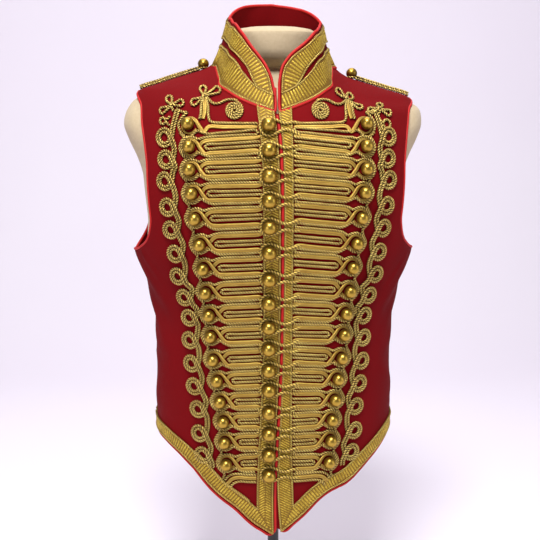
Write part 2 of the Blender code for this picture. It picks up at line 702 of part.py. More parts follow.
def dress_form(linen, steel):
    count = 24
    points, faces = [], []
    angles = np.linspace(0, 2 * math.pi, count, endpoint=False)
    for row in FORM_RINGS:
        points += list(ring_point(angles, row[0], FORM_RINGS))
    for i in range(len(FORM_RINGS) - 1):
        a, b = count * i, count * (i + 1)
        faces += [(a + k, a + (k + 1) % count, b + (k + 1) % count, b + k) for k in range(count)]
    points += [np.array((0.0, 0.0, FORM_BOTTOM)), np.array((0.0, 0.0, FORM_RINGS[-1][0] + 1.0))]
    last = count * (len(FORM_RINGS) - 1)
    for k in range(count):
        faces += [(len(points) - 2, (k + 1) % count, k), (len(points) - 1, last + k, last + (k + 1) % count)]
    add_object("dress_form", points, faces, linen)
    origin = np.array((0.0, 0.0, 0.0))
    plate = ((BASE_RADIUS, 0.0), (BASE_RADIUS, 6.0), (BASE_RADIUS - 5, BASE_HEIGHT),
             (60, HUB_HEIGHT - 4), (13, HUB_HEIGHT))
    turned("stand_base", origin, (0, 0, 1), plate, 24, steel)
    pole = ((POLE_RADIUS, HUB_HEIGHT + 0.3), (POLE_RADIUS, FORM_BOTTOM - 0.3))
    turned("stand_pole", origin, (0, 0, 1), pole, 14, steel)


def main():
    for old in list(bpy.data.objects):
        bpy.data.objects.remove(old)
    cloth_red = material("crimson_cloth", RED, 0.85)
    edge_red = material("piping_red", PIPING_RED, 0.6)
    gold = material("gold_braid", GOLD, 0.45, 0.5)
    brass = material("button_brass", BRASS, 0.3, 1.0)
    linen = material("linen", LINEN, 0.9)
    steel = material("black_steel", STEEL, 0.4, 0.8)
    front_panel("front_right", -1, cloth_red)
    front_panel("front_left", 1, cloth_red)
    back_panel(cloth_red)
    collar_piece(cloth_red)
    laces(gold)
    edgings(edge_red)
    for side, name in ((-1, "right"), (1, "left")):
        braid(f"braid_{name}", side, gold)
        scallop(f"scallop_cord_{name}", side, gold)
        curls(f"curl_cord_{name}", side, gold)
        trefoil(f"trefoil_inner_{name}", 91, 780, 18.0, side, gold, 6)
        trefoil(f"trefoil_outer_{name}", 134, 765, 15.5, side, gold)
        rosette(f"rosette_{name}", 54.5, 759.5, side, gold)
        shoulder_trim(side, name, gold, brass)
    for number, (centre, _, _) in enumerate(ROWS, 1):
        ball(f"centre_button_{number:02d}", BUTTON_S, centre, 2.85, CENTRE_BALL, 8, brass)
    dress_form(linen, steel)


main()
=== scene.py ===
"""A braided hussar waistcoat on a linen dress form, dressed over its CAD frame.

The cloth's outer face is one body surface: the one that the solids follow, with soft folds and the set of
the shoulders added. A place on it is written as (s, z): s is the distance along the level ring from the
centre front, positive towards the wearer's left (+X), and z is the height. Cords are laid out in (s, z), in
millimetres, at their real size. Where u stands for s, it is counted outwards on either front.
"""
import math

import bpy
import numpy as np
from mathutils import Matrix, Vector


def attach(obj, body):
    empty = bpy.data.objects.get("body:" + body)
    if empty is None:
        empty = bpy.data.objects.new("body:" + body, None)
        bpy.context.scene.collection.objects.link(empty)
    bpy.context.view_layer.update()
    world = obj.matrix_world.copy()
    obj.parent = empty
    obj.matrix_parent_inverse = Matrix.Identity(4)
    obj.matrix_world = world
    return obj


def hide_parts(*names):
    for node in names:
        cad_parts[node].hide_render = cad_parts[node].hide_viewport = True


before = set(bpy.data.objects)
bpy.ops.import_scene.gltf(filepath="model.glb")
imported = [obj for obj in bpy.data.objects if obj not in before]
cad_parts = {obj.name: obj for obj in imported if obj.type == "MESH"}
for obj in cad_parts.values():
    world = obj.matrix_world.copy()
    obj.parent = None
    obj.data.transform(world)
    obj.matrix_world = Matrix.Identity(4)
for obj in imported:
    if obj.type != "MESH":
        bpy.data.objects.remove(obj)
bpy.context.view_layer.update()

MM = 0.001
QUARTER = math.pi / 2
RIGHT, LEFT = -1, 1

# The body surface: level rings of the waistcoat's outer face
RINGS = (
    # z, half_width, front, back, power
    (190, 164, 112, 108, 2.35),
    (320, 164, 112.5, 110, 2.35),
    (400, 163.2, 110, 106, 2.35),
    (440, 162.8, 109, 104, 2.35),
    (480, 163.5, 109.5, 104.5, 2.35),
    (520, 170, 113, 109, 2.35),
    (555, 182, 118, 115, 2.35),
    (572, 188, 120.5, 118, 2.35),
    (600, 193, 124, 121, 2.35),
    (640, 198, 127, 123, 2.35),
    (680, 201, 124, 122, 2.3),
    (720, 202, 115, 118, 2.2),
    (745, 199, 104, 112, 2.1),
    (765, 193, 91, 106, 2.05),
    (786, 183, 67, 97, 2.0),
    (797, 150, 52, 90, 2.0),
    (808, 114, 36, 82, 2.0),
    (818, 83, 22, 74, 2.0),
    (834, 68, 12, 64, 2.0),
)
FORM_RINGS = (
    # z, half_width, front, back, power
    (345, 138, 87, 85, 2.35),
    (348, 149, 97, 95, 2.35),
    (358, 155.5, 103, 101, 2.35),
    (420, 156, 103, 98.5, 2.35),
    (480, 156, 102, 97, 2.35),
    (530, 164, 107, 103, 2.35),
    (575, 179, 113, 111, 2.35),
    (620, 188, 119, 116, 2.3),
    (665, 194, 118, 116, 2.3),
    (705, 196, 111, 113, 2.2),
    (735, 194, 100, 107, 2.1),
    (757, 189, 84, 101, 2.05),
    (774, 180, 68, 91, 2.0),
    (783, 175, 60, 86, 2.0),
    (787.4, 169.5, 54, 83, 2.0),
    (794.2, 150, 43, 77, 2.0),
    (805.5, 113, 29, 68, 2.0),
    (812.8, 79, 26, 60, 2.0),
    (818, 69, 34, 56, 2.0),
    (825, 64, 43, 54, 2.0),
    (836, 58, 48, 49, 2.0),
    (857, 56, 50, 47, 2.0),
    (862, 50, 44, 41, 2.0),
    (865, 34, 30, 28, 2.0),
)
# Cut lines of the cloth
FRONT_EDGE = ((200, -1.5), (250, -2), (320, 0.3), (387, 4), (455, 6.5), (522, 7), (588, 6.5),
              (650, 6), (700, 5), (738, 2.5), (756, 0))
HEM = ((0, 205), (2.2, 200), (5, 208), (9.4, 219), (17, 240), (29, 260), (40, 281), (50, 296),
       (68, 314), (80, 319), (90, 320))
NECKLINE = ((0, 755), (6.8, 763), (13.6, 771.6), (20.3, 782.7), (30.5, 799), (45, 810), (60, 815), (90, 818))
HEM_SHIFT = {
    RIGHT: ((0, 0), (3, -0.3), (7, -2.6), (15, -2.2), (21, -1.5), (27, 1.4), (33, 5), (40, 8.5), (49, 8.5),
            (62, 5), (80, 0), (90, 0)),
    LEFT: ((0, 3), (3, 5), (7, 6.5), (12, 8.3), (20, 9.4), (26, 6.8), (31, 2.4), (37, 0), (90, 0)),
}
BACK_HEM = ((0, 312), (45, 314), (90, 320))
BACK_NECKLINE = ((0, 832), (45, 830), (70, 825), (90, 818))
ARMHOLE_FRONT = ((571, 90), (575, 76), (582, 66), (592, 58.5), (605, 54.5), (625, 52), (650, 52),
                 (685, 52), (720, 54), (745, 58.5), (765, 65), (777, 75), (786, 90))
ARMHOLE_BACK = ((571, 90), (575, 79), (582, 71), (592, 65), (605, 61), (625, 59), (650, 58.5),
                (685, 59), (720, 61), (745, 65), (765, 71), (777, 79), (786, 90))
UNDERARM, SHOULDER_TIP = 571, 786
SIDE_LEVELS = (320, 352, 392, 436, 482, 518, 548, 571, 576, 583, 592, 608, 640, 674, 706, 732, 752,
               768, 786, 802, 818)
# The cloth's thickness, and half the gap at a seam: in millimetres and as a turn of the ring
CLOTH, SEAM = 2.0, 0.12
SEAM_TURN = SEAM / 190
# Soft drag folds and creases, by signed ring angle from the centre front
FOLDS = (
    # ring_angle, height, slope, length, width, depth
    *((side * angle, *rest) for side in (LEFT, RIGHT) for angle, *rest in (
        (66, 535, 1.1, 60, 17, 3.6), (80, 505, 0.9, 50, 16, 3.0), (70, 452, 0.3, 45, 18, 2.4),
        (74, 385, -0.8, 60, 20, 2.4))),
    (-62, 560, 1.6, 34, 6, 1.5),
    (-72, 480, 1.3, 40, 7, 1.3),
    (-84, 556, 2.2, 30, 6, 1.2),
    (-60, 420, -0.5, 34, 8, 1.0),
    (-88, 430, 0.4, 38, 8, 1.1),
    (61, 548, 1.4, 36, 6, 1.4),
    (76, 470, 1.2, 38, 7, 1.2),
    (86, 540, 2.0, 30, 6, 1.1),
    (64, 405, -0.6, 36, 8, 1.1),
    (84, 350, 0.7, 40, 9, 1.2),
)
FOLDS_FADE = (46, 58)

# The braid rows: height of the centre button, and the place of the outer button
ROWS = (
    # centre_z, outer_s, outer_z
    (738, 111, 739.5),
    (709.5, 109.5, 713.5),
    (679.5, 109, 686.5),
    (650, 107, 658),
    (618.5, 103.5, 627.5),
    (586.5, 98, 595),
    (551.5, 94, 564),
    (519.5, 91.5, 532),
    (487, 87.5, 501.5),
    (458, 85.5, 472.5),
    (429, 83, 441),
    (402.5, 78, 413),
    (372.5, 74.5, 385),
    (344, 70.5, 358.5),
    (315.5, 69, 330.5),
    (287, 67, 300.5),
)
# How far each row's slit starts above the middle between its two centre buttons, from the second row down
SLIT_RISE = {
    RIGHT: (-4.7, -4.2, -4.4, -3.3, -3.7, -1.8, 0.9, 2.1, 3.1, 1.3, 0.3, -0.5, 2.1, 2.2, 1.7),
    LEFT: (0, 0.7, 1.4, 2.1, 1.6, 2.5, 3.5, 4.2, 4.0, 3.6, 1.8, -0.6, -0.6, 0, 0),
}
BUTTON_S, CENTRE_BALL, OUTER_BALL, SHOULDER_BALL = -12.0, 9.0, 8.2, 7.4
CENTRE_RISE, OUTER_RISE, SHOULDER_RISE = 10.6, 8.6, 8.6
SLIT_HALF, TURN_HALF, BRAID_GAP = 2.4, 2.3, 4.1
CURLS = (
    (144, 725), (142, 698.5), (144, 672), (141, 640), (137.5, 611.5), (132.5, 580.5), (130.5, 550.5),
    (122.5, 522), (116.5, 494.5), (116.5, 464), (114.5, 432.5), (111, 402), (106, 371.5),
    (104.5, 338.5), (100, 309),
)
HEM_LACE, HEM_MARGIN = 17.2, 3.0
# The front laces' two lines: from the front's edge to the lace, and from the centre to the lace's far line
LACE_NEAR = {
    RIGHT: ((200, 4.8), (760, 4.6)),
    LEFT: ((205, 5.4), (225, 3.6), (260, 1.8), (290, 0.9), (760, 0.9)),
}
LACE_FAR = {
    RIGHT: ((200, 27.2), (250, 27.4), (320, 25.2), (387, 21.5), (455, 19), (522, 18.5), (588, 19),
            (650, 19.5), (700, 20.5), (738, 23), (760, 25.5)),
    LEFT: ((200, 21), (250, 20), (320, 17.8), (400, 17.3), (760, 17.5)),
}
# The collar's top line and the two lines of the red window in its lace, by distance from the front
COLLAR_REAR = ((130, 62), (180, 61), (250, 64), (280, 64))
COLLAR_HEIGHTS = {
    RIGHT: ((0, 16), (5.2, 22), (7.5, 32), (10.5, 40.5), (22.8, 54), (45, 64.5), (74.5, 73), (90, 74),
            (102, 71), *COLLAR_REAR),
    LEFT: ((0, 28), (3.5, 33), (5.2, 42), (8, 50), (11.2, 56), (30, 67), (64.2, 73), (82, 75), (100, 71),
           *COLLAR_REAR),
}
WINDOW_LOW = {
    RIGHT: ((0, 22), (29.5, 24), (54, 33), (77, 41), (100, 40), (130, 32), (180, 26), (280, 25)),
    LEFT: ((0, 24), (28.5, 27), (54, 36), (77, 43.5), (100, 42), (130, 32), (180, 26), (280, 25)),
}
WINDOW_HIGH = {
    RIGHT: ((0, 22), (29.5, 24.2), (53, 43), (78, 48), (100, 47), (130, 40), (180, 37), (280, 38)),
    LEFT: ((0, 24), (28.5, 27.2), (53, 44.5), (78, 50), (100, 49), (130, 41), (180, 37), (280, 38)),
}
WINDOW_TIP = {RIGHT: 29.5, LEFT: 28.5}
COLLAR_WALL, COLLAR_LEAN, COLLAR_TURN, COLLAR_FRONT = 2.2, 0.26, 0.035, 4.0
SHOULDER_INSET, COLLAR_TILT = 4.5, 6.5
# How far each shoulder drops, from which height up, and over how much height it comes in
SHOULDER_DROP = {RIGHT: (3.0, 768, 30), LEFT: (11.5, 753, 35)}
# How far out on each shoulder its cord ends, at the ball button
SHOULDER_REACH = {RIGHT: 98.0, LEFT: 110.0}
# How far the form stands out at the arms, and drops back under them
ARM_STUB = ((560, 0), (585, -9), (620, -17), (672, -19), (688, -16), (702, -11), (720, -2), (740, 6.5),
            (757, 9), (768, 9), (778, 3), (784, 0))
POLE_RADIUS, BASE_RADIUS, BASE_HEIGHT, HUB_HEIGHT, FORM_BOTTOM = 8.0, 150.0, 10.0, 24.0, 345.0

# Cords: half width, half height, groove depth, groove width, one turn of the lay, step, points round
TWIST = dict(width=2.0, height=2.0, groove=0.46, notch=0.6, lay=7.0, step=0.8, sides=8)
FINE_TWIST = dict(width=1.3, height=1.3, groove=0.4, notch=0.55, lay=5.0, step=0.62, sides=8)
BRAID = dict(width=2.55, height=1.6, groove=0.5, notch=0.26, lay=1e6, step=1.4, sides=14)
LOOP = dict(width=2.1, height=2.1, groove=0.2, notch=0.5, lay=8.0, step=0.9, sides=10)
ROUND = dict(width=1.8, height=1.8, groove=0.0, notch=0.5, lay=1e6, step=1.8, sides=12)
# The usual height of a cord's middle above the cloth, and its usual girth
LAID, GIRTH = 1.9, 1.0
SIDES = ((RIGHT, "right"), (LEFT, "left"))


def smooth(x, table, column=1):
    """A table's column at x, along a curve through its rows that doesn't swing past them."""
    rows = np.array(table, float)
    xs, ys = rows[:, 0], rows[:, column]
    steps = np.diff(ys) / np.diff(xs)
    slopes = np.zeros(len(xs))
    same = steps[:-1] * steps[1:] > 0
    slopes[1:-1][same] = 2 * steps[:-1][same] * steps[1:][same] / (steps[:-1] + steps[1:])[same]
    slopes[0], slopes[-1] = steps[0], steps[-1]
    x = np.clip(np.asarray(x, float), xs[0], xs[-1])
    i = np.clip(np.searchsorted(xs, x) - 1, 0, len(xs) - 2)
    width = xs[i + 1] - xs[i]
    t = (x - xs[i]) / width
    return (ys[i] * (1 + 2 * t) * (1 - t) ** 2 + ys[i + 1] * t * t * (3 - 2 * t)
            + width * (slopes[i] * t * (1 - t) ** 2 - slopes[i + 1] * t * t * (1 - t)))


def eased(share):
    share = np.clip(share, 0, 1)
    return share * share * (3 - 2 * share)


def unit(vectors):
    return vectors / np.linalg.norm(vectors, axis=-1, keepdims=True)


def run_lengths(points):
    """The distance run along a line, at each of its points."""
    return np.concatenate([[0.0], np.cumsum(np.linalg.norm(np.diff(points, axis=0), axis=1))])


def ring_point(angle, z, rings=RINGS):
    """The place at an angle round the ring of height z, from the centre front (0) to the back (pi)."""
    half, front, back, power = (smooth(z, rings, column) for column in (1, 2, 3, 4))
    c, s = np.cos(angle), np.sin(angle)
    x = half * np.sign(s) * np.abs(s) ** (2 / power)
    x = x + SHOULDER_INSET * eased((-x - 135) / 45) * eased((z - 735) / 45)
    y = -np.where(c >= 0, front, back) * np.sign(c) * np.abs(c) ** (2 / power)
    height = z
    for side, (drop, low, band) in SHOULDER_DROP.items():
        height = height - drop * eased((side * x - 64) / 40) * eased((z - low) / band)
    return np.stack(np.broadcast_arrays(x, y, height), axis=-1)


def hem_height(side, turns):
    return smooth(turns, HEM) + smooth(turns, HEM_SHIFT[side])


def fold_depth(angle, z):
    """How far the soft folds push the cloth out or in."""
    degrees_round = np.degrees((np.asarray(angle) + math.pi) % (2 * math.pi) - math.pi)
    total = np.zeros(np.broadcast(degrees_round, z).shape)
    for middle, height, slope, length, width, depth in FOLDS:
        across = (degrees_round - middle) * 2.2 * math.copysign(1, middle)
        up = z - height
        turn = math.hypot(1, slope)
        along, off = (across + slope * up) / turn, (up - slope * across) / turn
        total = total + depth * np.exp(-(along / length) ** 2 - (off / width) ** 2) * np.cos(off / width)
    low, high = FOLDS_FADE
    back = np.clip((120 - np.abs(degrees_round)) / 20, 0, 1)
    return total * eased((np.abs(degrees_round) - low) / (high - low)) * back


def cloth_frame(angle, z):
    """Points of the cloth's outer face and the normals there."""
    angle, z = np.broadcast_arrays(np.asarray(angle, float), np.asarray(z, float))
    step_a, step_z = 0.004, 0.8
    round_ = ring_point(angle + step_a, z) - ring_point(angle - step_a, z)
    up = ring_point(angle, z + step_z) - ring_point(angle, z - step_z)
    normal = unit(np.cross(round_, up))
    return ring_point(angle, z) + normal * fold_depth(angle, z)[..., None], normal


def cloth(angle, z, out=0.0):
    point, normal = cloth_frame(angle, z)
    return point + normal * np.asarray(out, float)[..., None]


def arc_tables():
    """Arc length from the centre front, by height and by ring angle."""
    heights = np.arange(190.0, 835.0, 3.0)
    angles = np.linspace(0, math.pi, 361)
    points = ring_point(angles[None, :], heights[:, None])
    steps = np.linalg.norm(np.diff(points, axis=1), axis=2)
    lengths = np.concatenate([np.zeros((len(heights), 1)), np.cumsum(steps, axis=1)], axis=1)
    evenly = np.arange(0.0, 620.0, 2.0)
    turned = np.array([np.interp(evenly, row, angles) for row in lengths])
    return heights, angles, lengths, evenly, turned


HEIGHTS, ANGLES, LENGTHS, EVENLY, TURNED = arc_tables()


def angle_at(s, z):
    """The ring angle that lies a distance s along the ring from the centre front."""
    s, z = np.broadcast_arrays(np.asarray(s, float), np.asarray(z, float))
    row = np.clip((z - HEIGHTS[0]) / 3.0, 0, len(HEIGHTS) - 1.001)
    column = np.clip(np.abs(s) / 2.0, 0, len(EVENLY) - 1.001)
    r, c = row.astype(int), column.astype(int)
    a, b = row - r, column - c
    found = ((1 - a) * ((1 - b) * TURNED[r, c] + b * TURNED[r, c + 1])
             + a * ((1 - b) * TURNED[r + 1, c] + b * TURNED[r + 1, c + 1]))
    return np.copysign(found, s)


def ring_length(angle, z):
    """Distance along the ring of height z from the centre front to an angle."""
    row = int(np.clip((z - HEIGHTS[0]) / 3.0, 0, len(HEIGHTS) - 1))
    return float(np.interp(abs(angle), ANGLES, LENGTHS[row])) * (1 if angle >= 0 else -1)


def armhole(z, table):
    z = np.asarray(z, float)
    inside = (z > UNDERARM) & (z < SHOULDER_TIP)
    return np.where(inside, smooth(z, table), 90.0)


def finer(values, parts):
    """Steps of a table cut into equal parts."""
    return np.interp(np.arange((len(values) - 1) * parts + 1) / parts, np.arange(len(values)), values)


def run_through(places, step=1.2, closed=False):
    """A smooth curve through given places; every column is carried along it."""
    knots = np.array(places, float)
    if closed:
        knots = np.vstack([knots[-1:], knots, knots[:2]])
    else:
        knots = np.vstack([2 * knots[0] - knots[1], knots, 2 * knots[-1] - knots[-2]])
    gaps = np.maximum(np.linalg.norm(np.diff(knots[:, :2], axis=0), axis=1), 0.05) ** 0.5
    out = []
    for i in range(1, len(knots) - 2):
        a, b, c, d = knots[i - 1:i + 3]
        g0, g1, g2 = gaps[i - 1:i + 2]
        m1 = ((b - a) / g0 - (c - a) / (g0 + g1) + (c - b) / g1) * g1
        m2 = ((c - b) / g1 - (d - b) / (g1 + g2) + (d - c) / g2) * g1
        count = max(2, int(np.linalg.norm((c - b)[:2]) / step) + 1)
        t = np.linspace(0, 1, count, endpoint=False)[:, None]
        out.append(b * (1 + 2 * t) * (1 - t) ** 2 + c * t * t * (3 - 2 * t)
                   + m1 * t * (1 - t) ** 2 - m2 * t * t * (1 - t))
    if not closed:
        out.append(knots[-2:-1])
    return np.vstack(out)


# Nodes and meshes

class Wire:
    """A node's output that takes Python's arithmetic; each operation adds its Math node."""

    def __init__(self, graph, socket):
        self.graph, self.socket = graph, socket

    def maths(self, operation, *values):
        return self.graph.node("ShaderNodeMath", {"operation": operation}, dict(enumerate(values)))

    def __add__(self, other):
        return self.maths("ADD", self, other)

    def __sub__(self, other):
        return self.maths("SUBTRACT", self, other)

    def __rsub__(self, other):
        return self.maths("SUBTRACT", other, self)

    def __mul__(self, other):
        return self.maths("MULTIPLY", self, other)

    def __truediv__(self, other):
        return self.maths("DIVIDE", self, other)

    def __pow__(self, other):
        return self.maths("POWER", self, other)

    __radd__, __rmul__ = __add__, __mul__

    def wave(self):
        return self.maths("SINE", self) * 0.5 + 0.5

    def clipped(self):
        return self.maths("MAXIMUM", self.maths("MINIMUM", self, 1.0), 0.0)


class Graph:
    """A node tree that is filled by calls."""

    def __init__(self, tree):
        self.tree = tree

    def node(self, kind, settings=None, sockets=None, outlet=0):
        made = self.tree.nodes.new(kind)
        for name, value in (settings or {}).items():
            setattr(made, name, value)
        for key, value in (sockets or {}).items():
            if isinstance(value, Wire):
                self.tree.links.new(value.socket, made.inputs[key])
            else:
                made.inputs[key].default_value = value
        return Wire(self, made.outputs[outlet])

    def blend(self, share, first, second):
        return self.node("ShaderNodeMix", {"data_type": "RGBA"}, {0: share, 6: first, 7: second}, 2)

    def noise(self, place, scale, detail=3.0, rough=0.5):
        return self.node("ShaderNodeTexNoise", None,
                         {"Vector": place, "Scale": scale, "Detail": detail, "Roughness": rough})

    def attribute(self, name):
        return self.node("ShaderNodeAttribute", {"attribute_name": name}, None, "Fac")


class Finish(Graph):
    """A material under construction."""

    def __init__(self, name, **fixed):
        self.material = bpy.data.materials.new(name)
        self.material.use_nodes = True
        super().__init__(self.material.node_tree)
        self.shader = self.tree.nodes["Principled BSDF"]
        for socket, value in fixed.items():
            label = socket.replace("_", " ").title().replace("Ior", "IOR")
            self.shader.inputs[label].default_value = value
        self.place = self.node("ShaderNodeTexCoord", None, None, "Object")

    def feed(self, socket, wire):
        self.tree.links.new(wire.socket, self.shader.inputs[socket])

    def relief(self, height, distance, strength=1.0):
        self.feed("Normal", self.node("ShaderNodeBump", None, {"Height": height, "Distance": distance,
                                                               "Strength": strength}))


def tint(red, green, blue):
    """A colour given as screen values from 0 to 255."""
    def linear(v):
        v /= 255
        return v / 12.92 if v <= 0.04045 else ((v + 0.055) / 1.055) ** 2.4
    return (linear(red), linear(green), linear(blue), 1.0)


def wool():
    """Fulled red cloth: a short nap, slightly uneven dye, the weave just showing."""
    made = Finish("crimson_wool", roughness=0.85, specular_ior_level=0.12)
    broad = made.noise(made.place, 9.0, 2.0)
    nap = made.noise(made.place, 420.0, 4.0, 0.65)
    fibre = made.noise(made.place, 1900.0, 2.0, 0.7)
    shade = (broad * 0.5 + nap * 0.5).clipped()
    colour = made.blend(shade, tint(88, 0, 4), tint(122, 3, 9))
    made.feed("Base Color", colour)
    made.feed("Roughness", 0.78 + nap * 0.18)
    made.relief(nap * 0.6 + fibre * 0.4, 0.0005, 0.6)
    return made.material


def piping_cloth():
    """Bright red piping: tightly wrapped cloth with a fine diagonal twill."""
    made = Finish("piping_red", roughness=0.5, specular_ior_level=0.3)
    along, around = made.attribute("along"), made.attribute("around")
    twill = (along * 5200.0 + around * 25.0).wave()
    worn = made.noise(made.place, 160.0, 3.0)
    made.feed("Base Color", made.blend(worn, tint(160, 12, 11), tint(192, 28, 22)))
    made.feed("Roughness", 0.5 + worn * 0.2)
    made.relief(twill, 0.00012, 0.7)
    return made.material


def gold_cord(name, threads, lay, body, bright, ribbed=False):
    """Metal thread wound on a cord: pale with painted glints on the crests, and painted shade in brown between
    the strands and down the sides.
    """
    made = Finish(name, metallic=0.6, roughness=0.4)
    along, around, crest, facing = (made.attribute(a) for a in ("along", "around", "crest", "facing"))
    if ribbed:
        around = (around - 0.25).maths("ABSOLUTE", around - 0.25)
    winding = (along * (2 * math.pi / lay) + around * (2 * math.pi * threads)).wave()
    glint = made.noise(made.place, 900.0, 2.0, 0.6)
    broad = made.noise(made.place, 48.0, 2.0)
    # painted glints: the glint noise and the winding lay the pale bright colour over the body colour
    face = made.blend((glint * 1.7 - 0.45 + winding * 0.3).clipped(), body, bright)
    face = made.blend((broad * 0.9 - 0.25).clipped(), face, tint(160, 112, 26))
    # painted shade: dark brown between the strands, where crest is low, and down the cord's sides and
    # underside, where its faces turn from the cloth
    painted_groove_shade = (1.0 - crest).clipped() * (0.85 if ribbed else 1.35)
    side = (0.62 - facing * 1.3).clipped()
    # tint(52, 24, 8) is the painted shade's dark brown
    made.feed("Base Color", made.blend((painted_groove_shade + side).clipped(), face, tint(52, 24, 8)))
    made.feed("Roughness", 0.28 + glint * 0.25 + side * 0.3)
    made.relief(winding * 0.75 + glint * 0.25, 0.0003, 0.9)
    return made.material


def gold_lace():
    """Flat woven lace: fine metal weft over ribs, with painted glints and random darker patches."""
    made = Finish("gold_lace", metallic=0.7, roughness=0.42)
    weft = made.node("ShaderNodeTexVoronoi", {"feature": "F1"}, {"Vector": made.place, "Scale": 900.0})
    broad = made.noise(made.place, 70.0, 3.0)
    speck = made.noise(made.place, 700.0, 2.0, 0.7)
    # painted glints: sparse pale specks where the speck noise is high
    colour = made.blend((speck * 2.6 - 0.85).clipped(), tint(138, 102, 10), tint(246, 218, 92))
    colour = made.blend((broad * 1.2 - 0.4).clipped(), colour, tint(128, 92, 14))
    made.feed("Base Color", colour)
    made.feed("Roughness", 0.32 + speck * 0.3)
    made.relief(weft * 0.5 + speck * 0.5, 0.0007, 0.9)
    return made.material


def lace_ground():
    """The lace's ground, seen between its ribs, painted dark as the shade between them."""
    made = Finish("lace_ground", metallic=0.45, roughness=0.55)
    speck = made.noise(made.place, 800.0, 3.0, 0.7)
    # painted shade: the ground's dark browns stand for the shade between the ribs
    made.feed("Base Color", made.blend(speck, tint(70, 46, 8), tint(158, 120, 30)))
    made.feed("Roughness", 0.45 + speck * 0.3)
    made.relief(speck, 0.0003, 0.7)
    return made.material


def brass():
    """Domed brass buttons, lighter on top and darker towards the cloth."""
    made = Finish("button_brass", metallic=1.0, roughness=0.3)
    rise = made.attribute("rise")
    broad = made.noise(made.place, 150.0, 3.0)
    fine = made.noise(made.place, 1500.0, 2.0)
    # darker towards the ball's underside, where it faces the cloth
    low = (0.55 - rise * 0.75).clipped()
    colour = made.blend(broad, tint(158, 124, 44), tint(190, 158, 72))
    made.feed("Base Color", made.blend(low, colour, tint(74, 52, 14)))
    made.feed("Roughness", 0.22 + broad * 0.16 + low * 0.15)
    made.relief(fine * 0.5 + broad * 0.5, 0.0001, 0.5)
    return made.material


def linen():
    """Plain linen over the moulded form: an even weave with slubs and a little age."""
    made = Finish("linen", roughness=0.9, sheen_weight=0.1)
    weft, warp = made.attribute("weft"), made.attribute("warp")
    weave = (weft * 5700.0).wave() * 0.5 + (warp * 5700.0).wave() * 0.5
    slub = made.noise(made.place, 260.0, 4.0, 0.6)
    broad = made.noise(made.place, 11.0, 3.0)
    colour = made.blend(slub, tint(176, 157, 124), tint(204, 187, 155))
    made.feed("Base Color", made.blend(broad * 0.5, colour, tint(166, 144, 112)))
    made.relief(weave * 0.5 + slub * 0.5, 0.0004, 0.5)
    return made.material


def black_steel():
    """Satin black paint with a faint orange peel and a little uneven tone."""
    made = Finish("black_steel", metallic=0.35, roughness=0.36)
    peel = made.noise(made.place, 700.0, 2.0)
    broad = made.noise(made.place, 18.0, 3.0)
    made.feed("Base Color", made.blend(broad, tint(34, 34, 36), tint(58, 58, 61)))
    made.feed("Roughness", 0.3 + broad * 0.2)
    made.relief(peel, 0.0001, 0.4)
    return made.material


def backdrop_paint():
    made = Finish("backdrop", roughness=0.95)
    cloudy = made.noise(made.place, 1.2, 2.0)
    made.feed("Base Color", made.blend(cloudy, tint(236, 229, 240), tint(242, 236, 245)))
    return made.material


def mesh_piece(name, points, faces, finish, smooth_angle=40.0):
    """A mesh object from points in millimetres."""
    mesh = bpy.data.meshes.new(name)
    mesh.from_pydata((np.asarray(points, float) * MM).tolist(), [], faces)
    mesh.materials.append(finish)
    mesh.shade_smooth()
    if smooth_angle:
        mesh.set_sharp_from_angle(angle=math.radians(smooth_angle))
    made = bpy.data.objects.new(name, mesh)
    bpy.context.scene.collection.objects.link(made)
    return made


def wall(name, outer, inner, finish):
    """A cloth wall between two grids of points, closed round its edge; outer faces point outwards."""
    rows, columns = outer.shape[:2]
    index = np.arange(rows * columns).reshape(rows, columns)
    back = index + rows * columns
    quads = [np.stack([index[:-1, :-1], index[:-1, 1:], index[1:, 1:], index[1:, :-1]], -1).reshape(-1, 4),
             np.stack([back[:-1, :-1], back[1:, :-1], back[1:, 1:], back[:-1, 1:]], -1).reshape(-1, 4)]
    edge = np.concatenate([index[0], index[1:, -1], index[-1, -2::-1], index[-2:0:-1, 0]])
    turn = np.roll(edge, -1)
    quads.append(np.stack([edge, edge + rows * columns, turn + rows * columns, turn], -1))
    faces = np.concatenate(quads)
    centre = outer.reshape(-1, 3).mean(axis=0)
    middle = outer[rows // 2, columns // 2]
    a, b = outer[rows // 2, columns // 2 + 1] - middle, outer[rows // 2 + 1, columns // 2] - middle
    outward = middle - inner[rows // 2, columns // 2]
    if np.dot(np.cross(a, b), outward) < 0:
        faces = faces[:, ::-1]
    points = np.concatenate([outer.reshape(-1, 3), inner.reshape(-1, 3)])
    return mesh_piece(name, points, faces.tolist(), finish)


def ring_faces(rings, sides):
    """Faces between level rings of points, with a middle point to close the bottom and the top."""
    faces, middle = [], rings * sides
    for k in range(sides):
        following = (k + 1) % sides
        for a, b in ((sides * i + k, sides * i + following) for i in range(rings - 1)):
            faces.append((a, b, b + sides, a + sides))
        faces.append((middle, following, k))
        faces.append((middle + 1, middle - sides + k, middle - sides + following))
    return faces


def turned(name, profile, sides, finish):
    """A turned piece round the upright axis: profile rows of radius and height."""
    turn = np.linspace(0, 2 * math.pi, sides, endpoint=False)
    rings = [np.stack([r * np.cos(turn), r * np.sin(turn), np.full(sides, z)], -1) for r, z in profile]
    points = np.concatenate(rings + [[[0, 0, profile[0][1]], [0, 0, profile[-1][1]]]])
    return mesh_piece(name, points, ring_faces(len(profile), sides), finish)


